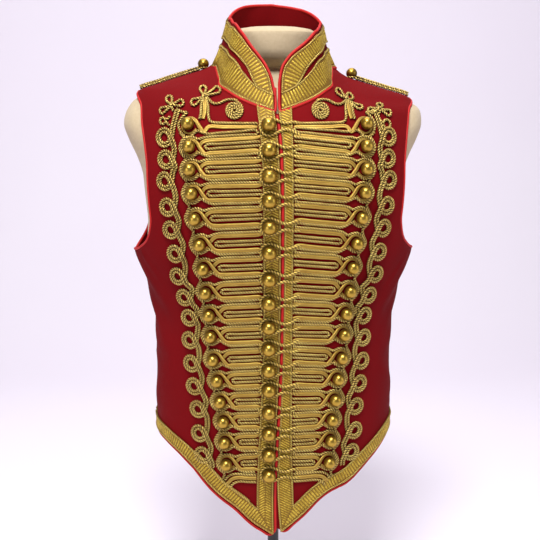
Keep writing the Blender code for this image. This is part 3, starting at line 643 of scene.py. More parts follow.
class Growth(Graph):
    """A Geometry Nodes tree with its named inputs and its one output."""

    def __init__(self, name, **inputs):
        super().__init__(bpy.data.node_groups.new(name, "GeometryNodeTree"))
        for label, kind in inputs.items():
            self.tree.interface.new_socket(label, in_out="INPUT", socket_type=f"NodeSocket{kind}")
        self.tree.interface.new_socket("Geometry", in_out="OUTPUT", socket_type="NodeSocketGeometry")
        self.inlet = self.tree.nodes.new("NodeGroupInput")

    def given(self, label):
        return Wire(self, self.inlet.outputs[label])

    def field(self, name, kind="FLOAT"):
        return self.node("GeometryNodeInputNamedAttribute", {"data_type": kind}, {"Name": name})

    def keep(self, geometry, name, value):
        return self.node("GeometryNodeStoreNamedAttribute", {"data_type": "FLOAT", "domain": "POINT"},
                         {"Geometry": geometry, "Name": name, "Value": value})

    def place(self, geometry, x, y, z):
        spot = self.node("ShaderNodeCombineXYZ", None, {"X": x, "Y": y, "Z": z})
        return self.node("GeometryNodeSetPosition", None, {"Geometry": geometry, "Position": spot})

    def sphere(self, segments, rings):
        """A ball of radius 1 and its points' three coordinates."""
        ball = self.node("GeometryNodeMeshUVSphere", None,
                         {"Segments": segments, "Rings": rings, "Radius": 1.0})
        place = self.node("GeometryNodeInputPosition")
        return ball, *(self.node("ShaderNodeSeparateXYZ", None, {"Vector": place}, k) for k in range(3))

    def set_on_points(self, piece, turn, size):
        return self.close(self.node("GeometryNodeInstanceOnPoints", None,
                                    {"Points": self.given("Geometry"), "Instance": piece, "Rotation": turn,
                                     "Scale": size}))

    def close(self, geometry):
        """Realize Instances and Set Material, then the output."""
        geometry = self.node("GeometryNodeRealizeInstances", None, {"Geometry": geometry})
        geometry = self.node("GeometryNodeSetShadeSmooth", None, {"Geometry": geometry})
        geometry = self.node("GeometryNodeSetMaterial", None,
                             {"Geometry": geometry, "Material": self.given("Finish")})
        outlet = self.tree.nodes.new("NodeGroupOutput")
        self.tree.links.new(geometry.socket, outlet.inputs[0])
        return self.tree


def cord_tree():
    """Sweeps a grooved section along each route; the section turns once every lay."""
    sizes = dict.fromkeys(("Width", "Height", "Groove", "Notch", "Lay", "Step"), "Float")
    graph = Growth("laid_cord", Geometry="Geometry", **sizes, Sides="Int", Finish="Material")
    curve = graph.node("GeometryNodeMeshToCurve", None, {"Mesh": graph.given("Geometry")})
    curve = graph.node("GeometryNodeResampleCurve", {"mode": "LENGTH"},
                       {"Curve": curve, "Length": graph.given("Step")})
    along = graph.node("GeometryNodeSplineParameter", outlet="Length")
    curve = graph.keep(curve, "along", along)
    out = graph.field("lay", "FLOAT_VECTOR")
    curve = graph.node("GeometryNodeSetCurveNormal", {"mode": "FREE"}, {"Curve": curve, "Normal": out})
    tilt = along / graph.given("Lay") * (2 * math.pi)
    curve = graph.node("GeometryNodeSetCurveTilt", None, {"Curve": curve, "Tilt": tilt})
    section = graph.node("GeometryNodeCurvePrimitiveCircle", {"mode": "RADIUS"},
                         {"Resolution": graph.given("Sides"), "Radius": 1.0})
    around = graph.node("GeometryNodeSplineParameter", outlet="Factor")
    turn = around * (2 * math.pi)
    across, up = turn.maths("COSINE", turn), turn.maths("SINE", turn)
    ratio = across / graph.given("Notch")
    dip = turn.maths("EXPONENT", ratio * ratio * -1.0)
    reach = 1.0 - dip * graph.given("Groove")
    # crest: 1 on the crests, 0 in the grooves; the gold finishes paint shade in the grooves
    section = graph.keep(section, "crest", 1.0 - dip)
    section = graph.keep(section, "around", around)
    section = graph.place(section, up * reach * graph.given("Height"),
                          across * reach * graph.given("Width") * -1.0, 0.0)
    mesh = graph.node("GeometryNodeCurveToMesh", None, {"Curve": curve, "Profile Curve": section,
                                                        "Scale": graph.field("girth"), "Fill Caps": True})
    normal = graph.node("GeometryNodeInputNormal")
    # facing: how far each face turns out from the cloth; the gold finishes paint shade where it is low
    facing = graph.node("ShaderNodeVectorMath", {"operation": "DOT_PRODUCT"}, {0: normal, 1: out}, 1)
    return graph.close(graph.keep(mesh, "facing", facing))


def ball_tree():
    """Sets a ball button on each point: a crimped ball of two halves over a short neck."""
    graph = Growth("ball_buttons", Geometry="Geometry", Finish="Material")
    ball, x, y, z = graph.sphere(28, 16)
    seam = z.maths("EXPONENT", (z + 0.08) / 0.07 * ((z + 0.08) / 0.07) * -1.0) * 0.022
    neck = (0.0 - z - 0.72).clipped() * 0.9
    swell = seam + 1.0 - neck
    ball = graph.place(graph.keep(ball, "rise", z), x * swell, y * swell, z * 0.96)
    turn = graph.node("FunctionNodeAlignRotationToVector", {"axis": "Z"},
                      {"Vector": graph.field("lay", "FLOAT_VECTOR")})
    return graph.set_on_points(ball, turn, graph.field("girth"))


def rib_tree():
    """Lays a rounded rib of the lace on each point, across the direction kept with it."""
    graph = Growth("lace_ribs", Geometry="Geometry", Thickness="Float", Height="Float", Finish="Material")
    rib, x, y, z = graph.sphere(8, 6)
    blunt = z.maths("SIGN", z) * (z.maths("ABSOLUTE", z) ** 0.45)
    rib = graph.place(rib, x * graph.given("Thickness"), y * graph.given("Height"), blunt)
    turn = graph.node("FunctionNodeAxesToRotation", {"primary_axis": "Y", "secondary_axis": "Z"},
                      {"Primary Axis": graph.field("lay", "FLOAT_VECTOR"),
                       "Secondary Axis": graph.field("across", "FLOAT_VECTOR")})
    size = graph.node("ShaderNodeCombineXYZ", None, {"X": 1.0, "Y": 1.0, "Z": graph.field("girth")})
    return graph.set_on_points(rib, turn, size)


TREES = {"cord": cord_tree(), "ball": ball_tree(), "rib": rib_tree()}


def grown(name, tree, points, edges, kept, sizes, finish):
    """Runs a tree on points in millimetres and keeps the result as a plain mesh."""
    mesh = bpy.data.meshes.new(name)
    mesh.from_pydata((np.asarray(points, float) * MM).tolist(), edges, [])
    for label, values in kept.items():
        values = np.asarray(values, float)
        kind = "FLOAT_VECTOR" if values.ndim == 2 else "FLOAT"
        layer = mesh.attributes.new(label, kind, "POINT")
        layer.data.foreach_set("vector" if values.ndim == 2 else "value", values.ravel())
    seed = bpy.data.objects.new(name + "_route", mesh)
    bpy.context.scene.collection.objects.link(seed)
    modifier = seed.modifiers.new("grow", "NODES")
    modifier.node_group = TREES[tree]
    for item in TREES[tree].interface.items_tree:
        if item.in_out == "INPUT" and item.name in sizes:
            modifier[item.identifier] = sizes[item.name]
        elif item.in_out == "INPUT" and item.name == "Finish":
            modifier[item.identifier] = finish
    view_layer = bpy.context.evaluated_depsgraph_get()
    result = bpy.data.meshes.new_from_object(seed.evaluated_get(view_layer))
    seed.modifiers.clear()
    bpy.data.objects.remove(seed)
    result.name = name
    made = bpy.data.objects.new(name, result)
    bpy.context.scene.collection.objects.link(made)
    return made


def route_on(place, path, closed=False):
    """A route on a surface: two coordinates, the height of the cord's middle, and the girth if it varies."""
    path = np.asarray(path, float)
    x, y, lift = path[:, :3].T
    girth = path[:, 3] if path.shape[1] > 3 else np.full(len(path), GIRTH)
    return dict(points=place(x, y, lift), lay=unit(place(x, y, 10.0) - place(x, y, 0.0)), girth=girth,
                closed=closed)


def laid(side, places, step=1.2):
    """A smooth route on a front through places (u, z), each with its lift and girth where they aren't usual."""
    path = run_through([(u, z, *rest, *(LAID, GIRTH)[len(rest):]) for u, z, *rest in places], step)
    path[:, 0] *= side
    return route_on(cloth_spot, path)


def cords(name, routes, kind, finish):
    """All the lengths of one kind of cord in one piece."""
    edges, start = [], 0
    for route in routes:
        count = len(route["points"])
        edges += [(start + i, start + i + 1) for i in range(count - 1)]
        if route["closed"]:
            edges.append((start + count - 1, start))
        start += count
    points, lay, girth = (np.concatenate([route[key] for route in routes])
                          for key in ("points", "lay", "girth"))
    sizes = {key.title(): value * (MM if key in ("width", "height", "lay", "step") else 1)
             for key, value in kind.items()}
    return grown(name, "cord", points, edges, {"lay": lay, "girth": girth}, sizes, finish)


def buttons(name, places, radius, finish):
    """Ball buttons of one radius at places (point, normal)."""
    points, normals = zip(*places)
    kept = {"lay": normals, "girth": np.full(len(points), radius * MM)}
    return grown(name, "ball", points, [], kept, {}, finish)


# Camera, light and floor

SENSOR, FOCAL_PIXELS, PICTURE_PIXELS = 36.0, 904, 540


def camera_and_light():
    scene = bpy.context.scene
    camera = bpy.data.objects.new("camera", bpy.data.cameras.new("camera"))
    scene.collection.objects.link(camera)
    camera.data.sensor_width = SENSOR
    camera.data.lens = SENSOR * FOCAL_PIXELS / PICTURE_PIXELS
    camera.data.clip_end = 50.0
    pitch, yaw = math.radians(11.0), math.radians(3.0)
    ahead = Vector((math.sin(yaw) * math.cos(pitch), math.cos(yaw) * math.cos(pitch), -math.sin(pitch)))
    camera.location = (-0.0691, -1.2323, 0.7786)
    camera.rotation_euler = ahead.to_track_quat("-Z", "Y").to_euler()
    scene.camera = camera
    world = bpy.data.worlds.new("studio")
    world.use_nodes = True
    sky = world.node_tree.nodes["Background"]
    sky.inputs["Color"].default_value = (0.93, 0.90, 0.96, 1)
    sky.inputs["Strength"].default_value = 0.34
    scene.world = world
    scene.view_settings.view_transform = "Standard"
    for name, place, aim, size, power in (
            ("key", (-0.2, -1.25, 2.45), (0.0, 0.0, 0.5), (0.6, 0.6), 58.0),
            ("fill", (-1.5, -1.8, 0.9), (0.0, 0.0, 0.55), (1.0, 1.2), 12.0),
            ("side", (1.9, -0.9, 1.0), (0.0, 0.0, 0.55), (1.0, 1.4), 8.0),
            ("top", (0.0, 0.3, 2.4), (0.0, 0.0, 0.5), (1.6, 1.6), 20.0)):
        light = bpy.data.objects.new(name, bpy.data.lights.new(name, "AREA"))
        light.data.shape = "RECTANGLE"
        light.data.size, light.data.size_y = size
        light.data.energy = power
        light.location = place
        light.rotation_euler = (Vector(aim) - Vector(place)).to_track_quat("-Z", "Y").to_euler()
        scene.collection.objects.link(light)


def backdrop(finish):
    """A pale floor that curves up into a wall far behind."""
    profile = [(-3.0, 0.0), (1.2, 0.0)]
    profile += [(1.2 + 0.9 * math.sin(t), 0.9 - 0.9 * math.cos(t)) for t in np.linspace(0.1, QUARTER, 14)]
    profile.append((2.1, 4.0))
    points, faces = [], []
    for y, z in profile:
        points += [(-4000.0, y * 1000, z * 1000), (4000.0, y * 1000, z * 1000)]
    for i in range(len(profile) - 1):
        faces.append((2 * i, 2 * i + 1, 2 * i + 3, 2 * i + 2))
    mesh_piece("backdrop", points, faces, finish, 0)


# The waistcoat's cloth

def front_angle(side, column, z, level):
    """The ring angle of a front's grid line, on the grid row of that side level."""
    outer = np.radians(armhole(level, ARMHOLE_FRONT)) - SEAM_TURN
    edge = angle_at(smooth(z, FRONT_EDGE) + side * SEAM, z)
    return edge + (side * outer - edge) * column


def panel(name, hem, neck, ring_angle, finish):
    """A cloth wall from the hem to the neckline, its ring angles found from the heights and side levels."""
    levels = finer(SIDE_LEVELS, 6)[:, None]
    share = (levels - SIDE_LEVELS[0]) / (SIDE_LEVELS[-1] - SIDE_LEVELS[0])
    z = hem + (neck - hem) * share
    angle = ring_angle(z, np.broadcast_to(levels, z.shape))
    return wall(name, cloth(angle, z), cloth(angle, z, -CLOTH), finish)


def front_panel(side, name, finish):
    columns = finer((0, 0.03, 0.08, 0.15, 0.23, 0.32, 0.42, 0.53, 0.65, 0.77, 0.89, 1), 6)[None, :]
    return panel(f"{name}_front", hem_height(side, columns * 90), smooth(columns * 90, NECKLINE),
                 lambda z, levels: front_angle(side, columns, z, levels), finish)


def back_panel(finish):
    half = finer((0, 0.16, 0.32, 0.48, 0.64, 0.78, 0.9, 1), 7)
    columns = np.concatenate([-half[:0:-1], half])[None, :]
    turns = np.abs(columns) * 90
    return panel("back_body", smooth(turns, BACK_HEM), smooth(turns, BACK_NECKLINE), lambda _, levels:
                 math.pi - columns * (np.radians(armhole(levels, ARMHOLE_BACK)) - SEAM_TURN), finish)


def neck_seam():
    """The neckline from the centre front to the centre back on the wearer's left."""
    share = np.linspace(0, 1, 60)
    front = cloth(QUARTER * share, smooth(90 * share, NECKLINE))
    back = cloth(math.pi - QUARTER * share[::-1], smooth(90 * share[::-1], BACK_NECKLINE))
    return np.concatenate([front, back[1:]])


NECK_POINTS = neck_seam()
NECK_LENGTHS = run_lengths(NECK_POINTS)
NECK_HALF = float(NECK_LENGTHS[-1])


def softened(values, odd):
    """Values along the neckline, averaged over a soft width so that the collar above has no corner."""
    marks = np.arange(0, 2 * NECK_HALF, 2.0)
    there = np.where(marks > NECK_HALF, 2 * NECK_HALF - marks, marks)
    whole = np.interp(there, NECK_LENGTHS, values) * np.where((marks > NECK_HALF) & odd, -1, 1)
    reach = np.arange(-30, 31)
    weight = np.exp(-(reach / 9.0) ** 2)
    weight /= weight.sum()
    return marks, np.convolve(np.concatenate([whole[-30:], whole, whole[:30]]), weight, "valid")


COLLAR_X, COLLAR_Y = softened(NECK_POINTS[:, 0], True), softened(NECK_POINTS[:, 1], False)


def collar_point(round_, up, out=0.0):
    """Places on the collar's outer face: distance round from the centre front and height above the seam."""
    round_, up, out = np.broadcast_arrays(*(np.asarray(v, float) for v in (round_, up, out)))
    over = round_ > NECK_HALF
    distance = np.where(over, 2 * NECK_HALF - round_, round_)
    seam = np.stack([np.interp(distance, NECK_LENGTHS, NECK_POINTS[:, i]) for i in range(3)], -1)
    seam[..., 0] *= np.where(over, -1, 1)
    share = eased((up - 1) / 24)
    for i, (marks, values) in enumerate((COLLAR_X, COLLAR_Y)):
        seam[..., i] += (np.interp(round_, marks, values, period=2 * NECK_HALF) - seam[..., i]) * share
    inward = unit(np.stack([-seam[..., 0], -10 - seam[..., 1], np.zeros(seam.shape[:-1])], -1))
    lean = COLLAR_LEAN + COLLAR_TURN * np.clip((round_ - NECK_HALF) / 60, -1, 1)
    point = seam + inward * (1.1 + lean * (up + 4) - out)[..., None]
    point[..., 2] += up - COLLAR_TILT * np.clip(point[..., 0] / 70, 0, 1) * np.clip(up / 60, 0, 1)
    return point


def collar_top(round_):
    round_ = np.asarray(round_, float)
    return np.where(round_ < NECK_HALF, smooth(round_, COLLAR_HEIGHTS[LEFT]),
                    smooth(2 * NECK_HALF - round_, COLLAR_HEIGHTS[RIGHT]))


def collar(finish):
    round_ = np.linspace(0, 1, 181)
    ease = COLLAR_FRONT + (2 * NECK_HALF - 2 * COLLAR_FRONT) * round_
    rows = np.linspace(0, 1, 25)
    height = 0.5 + (collar_top(ease)[:, None] - 0.5) * rows[None, :]
    ease = np.broadcast_to(ease[:, None], height.shape)
    ripple = 0.5 * np.sin(ease / 9.0 + height / 14.0) * np.sin(height / 30.0)
    return wall("stand_collar", collar_point(ease, height, ripple),
                collar_point(ease, height, ripple - COLLAR_WALL), finish)


# The braid

def row_start(side, z):
    """Where a front's rows start, at the far line of its centre lace."""
    return float(smooth(z, LACE_FAR[side])) + 1.3


def slit_height(side, row, u):
    """Height of a row's slit at a distance u from the centre front."""
    centre, outer_u, outer_z = ROWS[row]
    if row:
        start = (ROWS[row - 1][0] + centre) / 2 + SLIT_RISE[side][row - 1]
    else:
        start = centre + 8.5
    share = (u - 20) / (outer_u - 20)
    return start + (outer_z - start) * share


def half_pitch(side, row):
    """Half the distance from a row's slit to the next one down, at the centre."""
    if row == len(ROWS) - 1:
        return 14.5
    return (slit_height(side, row, 24) - slit_height(side, row + 1, 24)) / 2


def slit_start(side, row):
    return row_start(side, slit_height(side, row, 22))


def beside_slit(side, row, first, last, off, count=5):
    """Places at one height off a row's slit, between two distances from the centre front."""
    return [(u, slit_height(side, row, u) + off) for u in np.linspace(first, last, count)]


def about(u, z, offsets):
    """Places given by their offsets from one place, with any height and girth after them."""
    return [(u + across, z + up, *rest) for across, up, *rest in offsets]


# The edge cord's way round an outer button, and how it starts below the first one
ROUND_BUTTON = ((-10.5, 10.2), (-4.5, 12.2), (2.5, 12.3), (8.0, 8.6), (10.6, 2.0), (9.9, -5.0), (5.2, -10.4),
                (-1.6, -11.6))
UNDER_FIRST_BUTTON = ((12.0, -8.5), (6.5, -12.8), (-1.6, -13.2))


def edge_cord(side):
    """The twisted cord of a whole front: out along a row, round its button, back, and on to the next."""
    places = []
    for row, (_, outer_u, outer_z) in enumerate(ROWS):
        inner, start = outer_u - 26, slit_start(side, row)
        below = half_pitch(side, row) - TURN_HALF
        if row:
            above = half_pitch(side, row - 1) - TURN_HALF
            places += beside_slit(side, row, start + 3, inner, above)
            places.append((outer_u - 17, slit_height(side, row, outer_u - 17) + above * 0.5 + 5.2))
        places += about(outer_u, outer_z, ROUND_BUTTON if row else UNDER_FIRST_BUTTON)
        places += about(outer_u, outer_z, ((-7.0, -8.6), (-11.3, -6.0)))
        places.append((outer_u - 16.5, slit_height(side, row, outer_u - 16.5) - below * 0.5 - 3.2))
        places += beside_slit(side, row, inner + 2, start + 3, -below)
        if row < len(ROWS) - 1:
            places.append((start + 0.4, slit_height(side, row, start) - half_pitch(side, row)))
    return laid(side, [(u, z, 1.95) for u, z in places])


def hairpins(side):
    """The inner twisted cord of each row, round its red slit."""
    routes = []
    for row in range(1, len(ROWS)):
        start, tip = slit_start(side, row), ROWS[row][1] - 21.3
        routes.append(laid(side, beside_slit(side, row, start, tip, SLIT_HALF)
                           + [(tip + SLIT_HALF * 0.98, slit_height(side, row, tip + 2))]
                           + beside_slit(side, row, tip, start, -SLIT_HALF)))
    return routes


# How the lower braid of each row sweeps up round its button
BRAID_SWEEP = ((-19.0, -7.4, 1.9), (-15.2, -3.6, 2.6, 0.96), (-11.6, 1.6, 3.4, 0.92), (-8.2, 6.2, 3.2, 0.8),
               (-3.6, 9.2, 2.5, 0.62), (2.4, 9.2, 2.0, 0.55), (7.8, 5.2, 1.8, 0.5), (9.2, -1.2, 1.8, 0.5),
               (6.4, -6.8, 1.8, 0.5), (0.0, -9.3, 1.8, 0.5), (-6.2, -6.9, 1.8, 0.55), (-9.6, -3.4, 1.4, 0.6))


def row_braids(side):
    """The smooth double-ribbed braids above and below each slit; the lower one sweeps up round the button."""
    def arm(way, reach):
        """The straight part of a braid above (way 1) or below (way -1) the row's slit."""
        level = [(u, z, 1.7) for u, z in beside_slit(side, row, end + 1, outer_u - 25, way * reach, 4)]
        level.insert(0, (end - 3.5, slit_height(side, row, end) + way * reach + way * 1.2, 1.6, 0.75))
        if side == RIGHT:
            tuck = slit_height(side, row, start) + way * reach + way * 4.0
            level.insert(0, (start - 7, tuck, 1.4, 0.6))
        return level

    routes = []
    for row, (centre, outer_u, outer_z) in enumerate(ROWS):
        start = slit_start(side, row)
        end = start + 4
        if row:
            above = half_pitch(side, row - 1) - TURN_HALF - BRAID_GAP
            bend = slit_height(side, row, outer_u - 19.5) + above * 0.93
            routes.append(laid(side, arm(1, above) + [(outer_u - 19.5, bend, 1.7)]
                               + about(outer_u, outer_z, ((-15.2, 6.2, 1.6, 0.92), (-12.4, 2.6, 1.1, 0.8)))))
            lower = arm(-1, half_pitch(side, row) - TURN_HALF - BRAID_GAP)
        else:
            lower = [(end - 3.5, centre + 0.3, 1.6, 0.75)]
            lower += [(u, centre + 0.3, 1.7) for u in np.linspace(end + 1, outer_u - 25, 4)]
        routes.append(laid(side, lower + about(outer_u, outer_z, BRAID_SWEEP)))
    return routes


def first_row(side):
    """The top row's own cord, which turns up at its outer end and becomes the stem's inner edge."""
    centre = ROWS[0][0]
    inner, middle, outer = (laid(side, about(0, centre, places)) for places in (
        ((row_start(side, centre) + 1, 4.6), (45, 4.6), (66, 5.0), (80, 5.6), (84.5, 8.0), (86.2, 15),
         (86.4, 25), (88.8, 33), (90.6, 38, 1.9, 0.9)),
        ((93.2, 10, 1.7, 0.9), (91.0, 18, 1.8), (90.9, 27, 1.8), (91.8, 38, 1.5, 0.8)),
        ((97.5, 9.5), (95.6, 17), (95.2, 27), (93.0, 37, 1.9, 0.9))))
    return [inner, outer], [middle]


def last_row(side):
    """Below the last row, three cords run out and bend down behind the hem's lace."""
    start = row_start(side, 282)
    twisted, flat = [], []
    for low, reach, many in ((286.0, 60.0, twisted), (281.0, 56.5, flat), (275.8, 53.5, twisted)):
        many.append(laid(side, [(start + 0.3, low), (start + 12, low), (reach - 4, low + 0.4),
                                (reach + 4, low - 2.2), (reach + 10.0, low - 9.0, 1.8, 0.95)]))
    return twisted, flat


def centre_loops():
    """The round loops of the left front, each over the gap and round its centre button."""
    routes = []
    for row, (centre, _, _) in enumerate(ROWS):
        reach = half_pitch(LEFT, row) - TURN_HALF - BRAID_GAP
        upper = slit_height(LEFT, row, 26) - reach if row else centre + 4.2
        lower = slit_height(LEFT, row + 1, 26) + reach if row + 1 < len(ROWS) else centre - 6.0
        first, last = ([(27.5, end, 2.0, 0.85), (22.5, (end + centre + way * 6.4) / 2, 2.6),
                        (17, centre + way * 5.4, 3.2), (10.5, centre + way * 3.6, 3.9),
                        (4.5, centre + way * 4.4, 4.2), (-1.0, centre + way * 7.0, 4.2)]
                       for way, end in ((1, upper), (-1, lower)))
        ring = [(BUTTON_S + 10.7 * math.cos(t), centre + 10.7 * math.sin(t), 4.0)
                for t in np.radians(np.linspace(62, 298, 13))]
        routes.append(laid(LEFT, first + ring + last[::-1]))
    return routes


def scallop(side):
    """The twisted cord outside the outer buttons, with a cusp between each two."""
    places = [(128, 759.5, 1.9, 0.95), (119, 755.8), (113.6, 755.2), (117.5, 751.8)]
    for row, (_, u, z) in enumerate(ROWS):
        for turn, reach in ((38, 13.6), (0, 13.8), (-38, 13.6)):
            turn = math.radians(turn)
            places.append((u + reach * math.cos(turn), z + reach * 0.95 * math.sin(turn), 2.0))
        if row + 1 < len(ROWS):
            _, next_u, next_z = ROWS[row + 1]
            places.append(((u + next_u) / 2 + 6.0, (z + next_z) / 2, 2.2))
    return laid(side, places + about(*ROWS[-1][1:], ((3.5, -15.0), (5.5, -21.0, 1.8, 0.95))))


# One curl of the outermost cord: offsets from the curl's middle, and the height above the cloth
CURL = ((-11.6, 12.5, 2.0), (-10.0, 4.0, 1.8), (-7.0, -5.2, 2.0), (-0.2, -8.6, 2.0), (6.4, -5.8, 2.0),
        (8.8, 0.3, 2.0), (6.0, 6.5, 2.1), (-0.4, 8.7, 2.8), (-6.8, 5.2, 4.4), (-10.8, -1.8, 5.0),
        (-13.0, -8.8, 3.2))


def curl_chain(side, off):
    """One of the two cords of the curls, off to a side of their common middle."""
    middle = [(126.5, 757.5, 1.9), (130.3, 745, 1.9)]
    for u, z in CURLS:
        middle += about(u, z, CURL)
    path = run_through(middle + about(*CURLS[-1], ((-13.0, -16.0, 1.8),)), 1.0)
    path[:, :2] = moved(path[:, :2], -off)
    path[:, 0] *= side
    return route_on(cloth_spot, path)


def knot(side, junction, loops, stem):
    """Open loops of one twisted cord that all start from a junction; each is its head's centre and radius."""
    start = np.array(junction, float)
    places = [stem]
    for i, (u, z, radius) in enumerate(loops):
        head = np.array((u, z), float)
        way = unit(head - start)
        across = np.array((-way[1], way[0]))
        places.append((*(start + way * 1.6 - across * 0.8), 2.3 + 0.8 * i))
        for turn in np.radians((-128, -90, -45, 0, 45, 90, 128)):
            places.append((*(head + (way * math.cos(turn) + across * math.sin(turn)) * radius), 2.0))
        places.append((*(start + way * 1.6 + across * 0.8), 2.9 + 0.8 * i))
    return laid(side, places, 0.9)


# The chest knots of each front: junction, loop heads and side loop
KNOTS = {
    RIGHT: (((92.0, 773.5), ((104.6, 767.8, 4.0), (94.2, 785.2, 4.3), (75.4, 782.6, 4.4)), (93.0, 768.0, 2.0)),
            ((133.2, 763.2), ((147.6, 757.6, 3.8), (138.6, 771.6, 4.2), (122.6, 766.8, 3.9)),
             (132.0, 757.0, 2.0)),
            (146.6, 745.0, 4.0)),
    LEFT: (((90.2, 774.0), ((105.4, 764.6, 4.4), (96.2, 783.6, 4.4), (80.6, 783.8, 4.4)), (92.0, 768.0, 2.0)),
           ((132.9, 758.8), ((146.4, 754.6, 3.9), (135.4, 767.6, 4.2), (120.8, 758.2, 4.2)),
            (131.5, 753.0, 2.0)),
           (142.4, 740.6, 5.4)),
}


def chest_knots(side):
    """The two trefoils, the side loop over the curls, and the tail that runs to the spiral."""
    inner_knot, outer_knot, (ring_u, ring_z, ring_radius) = KNOTS[side]
    tail = [(90.5, 776.5, 2.4), (85.5, 770.8, 2.0), (79.5, 766.2, 2.0), (72.5, 766.4, 2.0), (65.0, 769.6, 2.0),
            (58.5, 770.8, 2.0), (50.5, 769.4, 2.0)]
    turns = 3.1
    for share in np.linspace(0, 1, 40):
        turn = math.radians(70) - share * turns * 2 * math.pi
        reach = 11.2 - 9.9 * share
        tail.append((54.2 - reach * math.cos(turn), 758.2 + reach * math.sin(turn) * 0.97, 2.0))
    ring = [(ring_u + ring_radius * math.cos(t), ring_z + ring_radius * math.sin(t), 2.1)
            for t in np.linspace(math.pi * 0.9, -math.pi * 0.92, 11)]
    side_loop = [(ring_u - 10.5, ring_z + 5.5, 2.0), *ring, (ring_u - 9.5, ring_z - 6.0, 2.0, 0.9)]
    return [knot(side, *inner_knot), knot(side, *outer_knot), laid(side, tail, 0.9),
            laid(side, side_loop, 0.9)]


# Lace

def cloth_spot(s, z, out):
    return cloth(angle_at(s, z), z, np.full(np.shape(s), out))


def evenly(line, count):
    """A line's points again at equal steps along it."""
    lengths = run_lengths(line)
    marks = np.linspace(0, lengths[-1], count)
    return np.stack([np.interp(marks, lengths, line[:, i]) for i in range(line.shape[1])], axis=1)


def moved(line, distance):
    """A line moved sideways, to the left of its run for a positive distance."""
    ahead = unit(np.gradient(line, axis=0))
    return line + np.stack([-ahead[:, 1], ahead[:, 0]], axis=1) * distance


def cut_where_crossed(first, second):
    """Two lines cut where they cross: the first up to there, the second from there on."""
    for i in range(len(first) - 1):
        run = first[i + 1] - first[i]
        for k in range(len(second) - 1):
            other, gap = second[k + 1] - second[k], second[k] - first[i]
            turn = run[0] * other[1] - run[1] * other[0]
            t = (gap[0] * other[1] - gap[1] * other[0]) / turn
            v = (gap[0] * run[1] - gap[1] * run[0]) / turn
            if 0 <= t <= 1 and 0 <= v <= 1:
                spot = first[i] + run * t
                return np.vstack([first[:i + 1], spot]), np.vstack([spot, second[k + 1:]])
    raise ValueError("the lines don't cross")


def woven_ground(name, near, far, lay_on, finish, thick=1.1, lift=0.7):
    """The lace's woven ground: a thin closed band between two lines of matching places."""
    shares = np.linspace(0, 1, 9)[None, :, None]
    spots = near[:, None] * (1 - shares) + far[:, None] * shares
    flat = spots.reshape(-1, 2)

    def layer(height):
        return lay_on(flat[:, 0], flat[:, 1], height).reshape(spots.shape[:2] + (3,))
    return wall(name, layer(lift + thick), layer(lift), finish)


def trimmed(start, stop, corner, plane):
    """The part of a rib that lies inside an arm's end; a rib that lies outside is left without length."""
    d0, d1 = ((point - corner) @ plane - 0.5 for point in (start, stop))
    if d0 < 0 and d1 < 0:
        return stop, stop
    if d0 < 0:
        return start + (stop - start) * (d0 / (d0 - d1)), stop
    if d1 < 0:
        return start, stop + (start - stop) * (d1 / (d1 - d0))
    return start, stop


def frame_along(line, lay_on, lift):
    """On a line over a surface: the points, the normals, the ways ahead and the ways across."""
    x, y = line.T
    point = lay_on(x, y, lift)
    normal = np.cross(lay_on(x + 0.5, y, lift) - lay_on(x - 0.5, y, lift),
                      lay_on(x, y + 0.5, lift) - lay_on(x, y - 0.5, lift))
    normal *= np.sign(np.sum(normal * (lay_on(x, y, lift + 5) - point), axis=1))[:, None]
    normal, run = unit(normal), unit(np.gradient(point, axis=0))
    return point, normal, run, np.cross(normal, run)


RIB_SHARE, RIB_LIFT, RIB_LEAST, LACE_END = 0.8, 1.75, 2.5, 40


def rib_lines(near, far, lay_on, pitch, slant=0.0, halves=False):
    """Ribs across one arm of a lace, square to its run or leaning, each cut off at the arm's ends."""
    middle = (near + far) / 2
    long_middle = np.vstack([middle[:1] + unit(middle[0] - middle[1]) * 14, middle,
                             middle[-1:] + unit(middle[-1] - middle[-2]) * 14])
    lengths = run_lengths(long_middle)
    square = frame_along(middle, lay_on, RIB_LIFT)[3]
    ends = lay_on(*far.T, RIB_LIFT) - lay_on(*near.T, RIB_LIFT)
    wide = np.abs(np.sum(ends * square, axis=1)) / 2 * RIB_SHARE
    marks = np.arange(0, lengths[-1], pitch)
    line = np.stack([np.interp(marks, lengths, long_middle[:, i]) for i in (0, 1)], axis=1)
    half = np.interp(marks, lengths[1:-1], wide)
    point, normal, run, across = frame_along(line, lay_on, RIB_LIFT)
    limits = []
    for end, inside in ((0, point[len(point) // 8]), (-1, point[-len(point) // 8])):
        corner, other = lay_on(*np.stack([near[end], far[end]]).T, RIB_LIFT)
        plane = unit(np.cross(other - corner, normal[end]))
        limits.append((corner, plane * np.sign(plane @ (inside - corner))))
    ribs = []
    for offset, reach, lean in ((-0.5, 0.47, slant), (0.5, 0.47, -slant)) if halves else ((0.0, 1.0, slant),):
        centre = point + across * (half * offset)[:, None]
        arm = (across + run * lean) * (half * reach)[:, None]
        for i, (start, stop) in enumerate(zip(centre - arm, centre + arm)):
            if marks[i] <= LACE_END:
                start, stop = trimmed(start, stop, *limits[0])
            elif lengths[-1] - marks[i] <= LACE_END:
                start, stop = trimmed(start, stop, *limits[1])
            size = np.linalg.norm(stop - start)
            if size > RIB_LEAST:
                ribs.append(((start + stop) / 2, normal[i], (stop - start) / size, size / 2 * MM))
    return ribs


def rib_piece(name, ribs, finish, thickness=1.5, height=0.75):
    """The ribs of a lace in one piece."""
    spots, lays, ways, girths = zip(*ribs)
    return grown(name, "rib", spots, [], {"lay": lays, "across": ways, "girth": girths},
                 {"Thickness": thickness * MM, "Height": height * MM}, finish)


